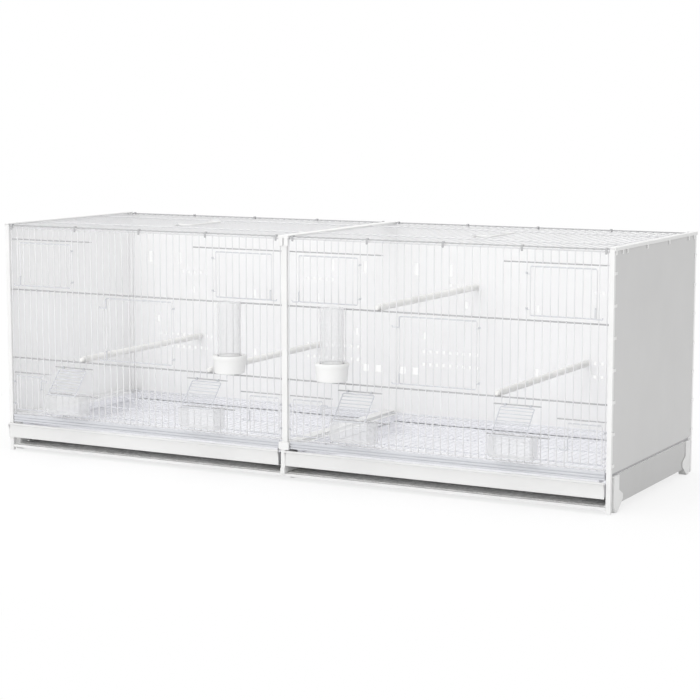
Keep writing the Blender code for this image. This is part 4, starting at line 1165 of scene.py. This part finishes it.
class CAGE_OT_roof(bpy.types.Operator):
    """Builds the two top grids with their clips and the carrying handles"""

    bl_idname = "cage.roof"
    bl_label = "Roof"

    def execute(self, context):
        wires = context.scene.cage_wires
        eye_y = FRONT + 0.45 * (BACK - FRONT)
        eye_z = TOP_Z + WIRE + 0.003
        for _, name in SIDES:
            low, high = box(f"top_grid_{name}")
            middle = (low[0] + high[0]) / 2
            shape = Shape()
            self.wires(shape, wires, low[0], high[0])
            # The edge wires and clips take the level coat, dark grey as painted shade along the
            # roof's edges.
            shape.finish = 1
            self.edges(shape, wires, low[0], high[0])
            shape.finish = 0
            for y in (eye_y - 0.060, eye_y + 0.060):
                self.eye(shape, middle, y, eye_z)
            make(f"top_wires_{name}", shape, (paint(), level_shade_paint()), FIXED,
                 [f"top_grid_{name}"])
            self.handle(wires, f"handle_{name}", middle, eye_y, eye_z)
        return {"FINISHED"}

    def wires(self, shape, wires, x0, x1):
        """Close wires from front to back, and two cross wires on them."""
        z = TOP_Z + WIRE / 2
        places = np.linspace(x0 + WIRE / 2, x1 - WIRE / 2, GRID_WIRES)
        shape.rods(at(places, FRONT, z), at(places, BACK, z), wires.lying)
        for y in (FRONT + 0.100, BACK - 0.101):
            shape.level_rods(x0, x1, y, self.cross_z(wires), wires.cross)

    def cross_z(self, wires):
        """Height of the wires that lie on the close ones, pressed into them a little."""
        return TOP_Z + WIRE / 2 + wires.lying + wires.cross * 0.8

    def edges(self, shape, wires, x0, x1):
        """Edge wires and the clips that hold them to the grids below: strips over the edge."""
        for y in (FRONT + wires.cross, BACK - wires.cross):
            shape.level_rods(x0, x1, y, self.cross_z(wires), wires.cross)
        strip = outline(-0.0006, 0.0006, -0.0019, 0.0019, 0.0005, 2)
        z = TOP_Z + WIRE / 2
        for share in (-0.98, -0.485, 0.0, 0.485, 0.98):
            x = (x0 + x1) / 2 + share * (x1 - x0) / 2
            for edge, way in ((FRONT, 1), (BACK, -1)):
                path = bend([
                    (x, edge - way * 0.0014, GRID_TOP - 0.0050),
                    (x, edge - way * 0.0014, z + 0.0035),
                    (x, edge + way * 0.0040, z + 0.0035),
                    (x, edge + way * 0.0046, z + 0.0004),
                ], 0.0018, 4)
                shape.sweep(path, strip, (1, 0, 0))

    def eye(self, shape, x, y, z):
        """Flat ring round a handle's pin: a circle across Y, on a small block."""
        radius = 0.0033
        turn = np.linspace(0, 2 * math.pi, 24, endpoint=False)
        shape.sweep(at(x + radius * np.sin(turn), y, z - radius * np.cos(turn)),
                    outline(-0.0008, 0.0008, -0.0018, 0.0018, 0.0006, 2), (0, 1, 0), closed=True)
        shape.block((x - 0.0038, y - 0.0019, TOP_Z), (x + 0.0038, y + 0.0019, z - 0.0024), 0.0006)

    def handle(self, wires, body, x, y, z):
        """Bail of round wire: a path with round corners that lies flat."""
        leg, reach, pin = 0.052, 0.028, 0.0635
        path = bend([(x, y - pin, z), (x, y - leg, z), (x + reach, y - leg, z),
                     (x + reach, y + leg, z), (x, y + leg, z), (x, y + pin, z)], 0.006, 6)
        shape = Shape().sweep(path, circle(wires.handle), (0, 0, 1))
        make(f"bail_{body}", shape, plastic(), body, [body])


class CAGE_OT_floor_grids(bpy.types.Operator):
    """Builds the two floor grids with their front rails"""

    bl_idname = "cage.floor_grids"
    bl_label = "Floor grids"

    def execute(self, context):
        wires = context.scene.cage_wires
        for side, name in SIDES:
            low, high = box(f"floor_grid_{name}")
            shape = Shape()
            self.wires(shape, wires, side, low, high)
            # The front rail takes the rails' coat, grey as painted shade.
            shape.finish = 1
            self.rail(shape, low, high)
            make(f"floor_wires_{name}", shape, (floor_paint(), rail_shade_paint()),
                 f"floor_grid_{name}", [f"floor_grid_{name}"])
        return {"FINISHED"}

    def wires(self, shape, wires, side, low, high):
        """Close wires from front to back, cross wires under them and one at the rear."""
        z = low[2] + 0.0060 + WIRE / 2
        places = np.linspace(low[0] + WIRE / 2, high[0] - WIRE / 2, GRID_WIRES)
        shape.rods(at(places, low[1] + 0.001, z), at(places, high[1], z), wires.lying)
        under = z - wires.lying - wires.cross + SINK
        shape.level_rods(side * 0.0225, side * 0.574, low[1] + np.array([0.09, 0.195, 0.30]),
                         under, wires.cross)
        shape.level_rods(low[0], high[0], high[1] - wires.cross, z, wires.cross)

    def rail(self, shape, low, high):
        """Front rail with two grooves along it."""
        y, rise = low[1], high[2] - low[2]
        back, groove = y + 0.0032, y + 0.0014
        section = np.array([
            (y + 0.0005, 0.0), (y, 0.0004), (y, 0.0032), (groove, 0.0036), (groove, 0.0046),
            (y, 0.0050), (y, 0.0080), (groove, 0.0084), (groove, 0.0094), (y, 0.0098),
            (y, rise - 0.0006), (y + 0.0006, rise), (back - 0.0005, rise),
            (back, rise - 0.0005), (back, 0.0005), (back - 0.0005, 0.0),
        ])
        shape.bar(section + (0, low[2]), low[0], high[0], 0.94, 0.3)


class CAGE_OT_trays(bpy.types.Operator):
    """Builds the two pull-out trays: a shallow pan behind a taller front plate"""

    bl_idname = "cage.trays"
    bl_label = "Trays"

    def execute(self, context):
        plate_back = FRONT - 0.0018
        for _, name in SIDES:
            low, high = box(f"tray_{name}")
            self.pan(name, low, high, plate_back)
            self.front(name, low, high, plate_back)
        return {"FINISHED"}

    def pan(self, name, low, high, plate_back):
        """Open pan: level outlines up its outside, over the rim and down its inside."""
        bottom, rim = low[2], low[2] + 0.021

        def ring(inset, radius):
            """Outline set in by a distance."""
            return outline(low[0] + 0.016 + inset, high[0] - 0.004 - inset,
                           plate_back - 0.001 + inset, high[1] - inset, radius, 5)

        shape = Shape().loft([
            (ring(0.0020, 0.006), bottom), (ring(0.0006, 0.007), bottom + 0.0005),
            (ring(0.0, 0.008), bottom + 0.0018), (ring(0.0, 0.008), rim - 0.0005),
            (ring(0.0004, 0.008), rim), (ring(0.0011, 0.0075), rim),
            (ring(0.0015, 0.007), rim - 0.0005), (ring(0.0016, 0.007), bottom + 0.0035),
            (ring(0.0022, 0.006), bottom + 0.0020), (ring(0.0040, 0.005), bottom + 0.0014),
        ])
        make(f"pan_{name}", shape, pan_plastic(), f"tray_{name}")

    def front(self, name, low, high, plate_back):
        """Front plate with a thicker lip along its top."""
        y, lip_y, bottom, top = plate_back, low[1], low[2], high[2]
        section = np.array([
            (y, bottom + 0.0004), (y, top - 0.0006), (y - 0.0006, top), (y - 0.0034, top),
            (lip_y, top - 0.0008), (lip_y, top - 0.0028), (lip_y + 0.0007, top - 0.0036),
            (y - 0.0023, top - 0.0042), (y - 0.0019, top - 0.0052),
            (y - 0.0018, bottom + 0.0060), (y - 0.0020, bottom + 0.0052),
            (y - 0.0020, bottom + 0.0006), (y - 0.0014, bottom), (y - 0.0006, bottom),
        ])
        shape = Shape().bar(section, low[0], high[0], 0.93, 0.2)
        make(f"tray_front_{name}", shape, tray_plastic(), f"tray_{name}", [f"tray_{name}"],
             sharp=32)


class CAGE_OT_body(bpy.types.Operator):
    """Dresses posts, panels, base and feet, and adds their small details"""

    bl_idname = "cage.body"
    bl_label = "Body"

    def execute(self, context):
        for part, material, edge, segments in (
            ("back_panel", back_panel, 0.0002, 2),
            ("side_panel", side_panel, 0.0004, 2),
            ("lower_side", lower_panel, 0.0003, 2),
            ("top_trim", plastic, 0.0005, 2),
            ("post_front", plastic, 0.0006, 2),
            # The rear posts take the back panels' whiter sheet, not the posts' white plastic:
            # painted light against the shade at the back.
            ("post_back", back_panel, 0.0006, 2),
            ("foot_front", plastic, 0.0010, 3),
            ("foot_back", plastic, 0.0010, 3),
        ):
            for _, name in SIDES:
                dress(f"{part}_{name}", material(), edge, segments)
        for part, material, edge in (
            ("post_front_centre", plastic, 0.0006),
            # The middle rear post too: its whiter sheet is painted light against the shade at the
            # back.
            ("post_back_centre", back_panel, 0.0006),
            ("top_crossbar", plastic, 0.0007),
            ("floor_beam", plastic, 0.0005),
            ("base_sheet", zinc, 0.0002),
            ("front_rail", plastic, 0.0006),
        ):
            dress(part, material(), edge)
        for side, name in SIDES:
            self.guide(side, name)
            self.skirt(side, name)
        for place in ("front", "back"):
            self.knob(place)
        return {"FINISHED"}

    def guide(self, side, name):
        """Narrow guide beside a floor grid, with a dark strip on its outer face as painted shade
        in the slot of the side panel.
        """
        y0, y1 = FRONT + 0.010, BACK - 0.010
        shape = Shape().block((side * 0.5935, y0, 0.0600), (side * 0.5956, y1, 0.0668), 0.0004)
        # Dark strip of the level coat: painted shade seen through the slot between the side panel
        # and the lower side.
        shape.finish = 1
        shape.block((side * 0.5955, y0, 0.0605), (side * 0.5967, y1, 0.0663), 0.0003)
        make(f"floor_guide_{name}", shape, (back_panel(), level_shade_paint()), FIXED)

    def skirt(self, side, name):
        """Strips that close the gap above a tray: along its sides, behind it and across it."""
        low, high = box(f"lower_side_{name}")
        rear = box(f"tray_{name}")[1, 1]
        beam, ledge = 0.0198, min(abs(low[0]), abs(high[0])) + 0.0002
        across = (beam + 0.0007, ledge + 0.0005)
        bottom, top, sheet = 0.0478, 0.0598, 0.0010
        shape = Shape()
        for (x0, x1), y0, y1, z in (
            ((ledge, ledge + sheet), low[1] - 0.028, rear + 0.0008, bottom),
            ((beam, beam + sheet), low[1] - 0.028, rear + 0.0008, bottom),
            (across, rear + 0.0008, BACK - 0.0022, top - sheet),
            (across, rear + GAP, rear + GAP + sheet, bottom),
        ):
            shape.block((side * x0, y0, z), (side * x1, y1, top), 0.0003)
        make(f"tray_skirt_{name}", shape, pan_plastic(), FIXED)

    def knob(self, place):
        """Turned foot under the middle."""
        low, high = box(f"foot_{place}_centre")
        x, y = (low[:2] + high[:2]) / 2
        top = high[2]
        profile = [(0.0052, 0.0), (0.0060, 0.0006), (0.0066, 0.0020), (0.0080, top - 0.0020),
                   (0.0085, top - 0.0012), (0.0085, top - 0.0003), (0.0081, top)]
        make(f"foot_knob_{place}", Shape().lathe(profile, (x, y, 0), 40), plastic(), FIXED,
             [f"foot_{place}_centre"])


def seen(tree):
    """One for rays of the camera, of gloss and through clear parts, and zero for the rest."""
    rays = node(tree, "ShaderNodeLightPath").outputs
    direct = calc(tree, "MAXIMUM", rays["Is Camera Ray"], rays["Is Glossy Ray"])
    return calc(tree, "MAXIMUM", direct, rays["Is Transmission Ray"])


def blend(tree, share, first, second, out):
    """Feeds an output with a surface between two surfaces."""
    mixed = node(tree, "ShaderNodeMixShader", {0: share, 1: first, 2: second})
    tree.links.new(mixed.outputs[0], tree.nodes[out].inputs["Surface"])


class CAGE_OT_stage(bpy.types.Operator):
    """Sets the camera, the lamps, the world and the floor"""

    bl_idname = "cage.stage"
    bl_label = "Stage"

    def execute(self, context):
        scene = context.scene
        stage = scene.cage_stage
        self.camera(scene, stage.lens)
        self.lamp(scene, "key", stage.key, 2.4, (0.0, -3.3, 1.3), (72, 0, 0))
        self.lamp(scene, "fill", stage.fill, 2.6, (-0.3, -0.3, 2.8), (5, -6, 0))
        self.world(scene, stage.world)
        self.floor(scene, tuple(stage.floor_colour))
        return {"FINISHED"}

    def camera(self, scene, lens):
        """Camera ahead of the right front corner, a little above the roof."""
        camera = bpy.data.cameras.new("camera")
        camera.lens = lens
        camera.sensor_width = 36
        holder = bpy.data.objects.new("camera", camera)
        holder.location = (1.662, -3.012, 0.668)
        holder.rotation_euler = (math.radians(82.380), 0, math.radians(28.384))
        scene.collection.objects.link(holder)
        scene.camera = holder
        scene.view_settings.view_transform = "Standard"

    def lamp(self, scene, name, power, size, place, turn):
        """Square lamp at a place, turned by degrees."""
        lamp = bpy.data.lights.new(name, "AREA")
        lamp.energy = power
        lamp.size = size
        light = bpy.data.objects.new(name, lamp)
        light.location = place
        light.rotation_euler = tuple(math.radians(angle) for angle in turn)
        scene.collection.objects.link(light)

    def world(self, scene, strength):
        """Even light from all around, plain white where it is seen."""
        world = bpy.data.worlds.new("studio")
        scene.world = world
        world.use_nodes = True
        tree = world.node_tree
        plain = tree.nodes["Background"]
        plain.inputs["Color"].default_value = (1, 1, 1, 1)
        plain.inputs["Strength"].default_value = strength
        white = node(tree, "ShaderNodeBackground", {"Color": (1, 1, 1, 1), "Strength": 1.0})
        blend(tree, seen(tree), plain.outputs[0], white.outputs[0], "World Output")

    def floor(self, scene, colour):
        """Round pale floor that turns white away from the cage and keeps its shadow."""
        turns = circle(1, 64)
        levels = [(turns * size, -0.0002) for size in (0.5, 1.0, 2.0, 4.0, 9.0)]
        shape = Shape().loft([*levels, (turns * 9.0, -0.02)])
        mesh = bpy.data.meshes.new("floor")
        mesh.from_pydata(np.concatenate(shape.points), [],
                         [*np.concatenate(shape.quads), *np.concatenate(shape.tris)])
        piece = bpy.data.objects.new("floor", mesh)
        scene.collection.objects.link(piece)
        mesh.materials.append(self.floor_material(colour))

    def floor_material(self, colour):
        """Matt floor that glows white where it is seen, more so away from the cage."""
        material, tree, surface, place = shader("studio_floor")
        out = use_group(tree, "cage_coat", coat_group, {
            "Vector": place, "Colour": (*colour, 1), "Shade": (*pale(colour, 0.98), 1),
            "Clouds": 1.5, "Grain": 300.0, "Roughness": 0.6, "Spread": 0.1,
        })
        tree.links.new(out["Colour"], surface.inputs["Base Color"])
        tree.links.new(out["Roughness"], surface.inputs["Roughness"])
        surface.inputs["Specular IOR Level"].default_value = 0.1
        glow = node(tree, "ShaderNodeEmission", {"Color": (1, 1, 1, 1), "Strength": 1.0})
        away = node(tree, "ShaderNodeVectorMath", {0: place}, operation="LENGTH")
        fade = ranged(tree, away.outputs["Value"], 0.55, 1.1, 0.75,
                      interpolation_type="SMOOTHSTEP")
        share = calc(tree, "MULTIPLY", seen(tree), fade)
        blend(tree, share, surface.outputs[0], glow.outputs[0], "Material Output")
        return material


OPERATORS = (
    CAGE_OT_front_grids,
    CAGE_OT_doors,
    CAGE_OT_feeders,
    CAGE_OT_waterers,
    CAGE_OT_perches,
    CAGE_OT_roof,
    CAGE_OT_floor_grids,
    CAGE_OT_trays,
    CAGE_OT_body,
    CAGE_OT_stage,
)


class CAGE_PT_panel(bpy.types.Panel):
    """Sizes, colours and the steps that build the cage"""

    bl_idname = "CAGE_PT_panel"
    bl_label = "Bird breeding cage"
    bl_space_type = "VIEW_3D"
    bl_region_type = "UI"
    bl_category = "Cage"

    def draw(self, context):
        for _, name in GROUPS:
            group = getattr(context.scene, name)
            column = self.layout.column(align=True)
            for prop in group.bl_rna.properties:
                if prop.identifier not in ("name", "rna_type"):
                    column.prop(group, prop.identifier)
        for operator in OPERATORS:
            self.layout.operator(operator.bl_idname)


GROUPS = ((CageWires, "cage_wires"), (CageFinish, "cage_finish"), (CageStage, "cage_stage"))


def register():
    """Adds the sizes and colours to the scene, and the steps and the panel to Blender."""
    for group, name in GROUPS:
        bpy.utils.register_class(group)
        setattr(bpy.types.Scene, name, bpy.props.PointerProperty(type=group))
    for made in (*OPERATORS, CAGE_PT_panel):
        bpy.utils.register_class(made)


def unregister():
    """Takes away what register added."""
    for made in (CAGE_PT_panel, *reversed(OPERATORS)):
        bpy.utils.unregister_class(made)
    for group, name in reversed(GROUPS):
        delattr(bpy.types.Scene, name)
        bpy.utils.unregister_class(group)


def main():
    """Registers the add-on and builds the whole cage."""
    register()
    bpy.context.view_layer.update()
    for operator in OPERATORS:
        group, name = operator.bl_idname.split(".")
        getattr(getattr(bpy.ops, group), name)()
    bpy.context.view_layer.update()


if __name__ == "__main__":
    main()
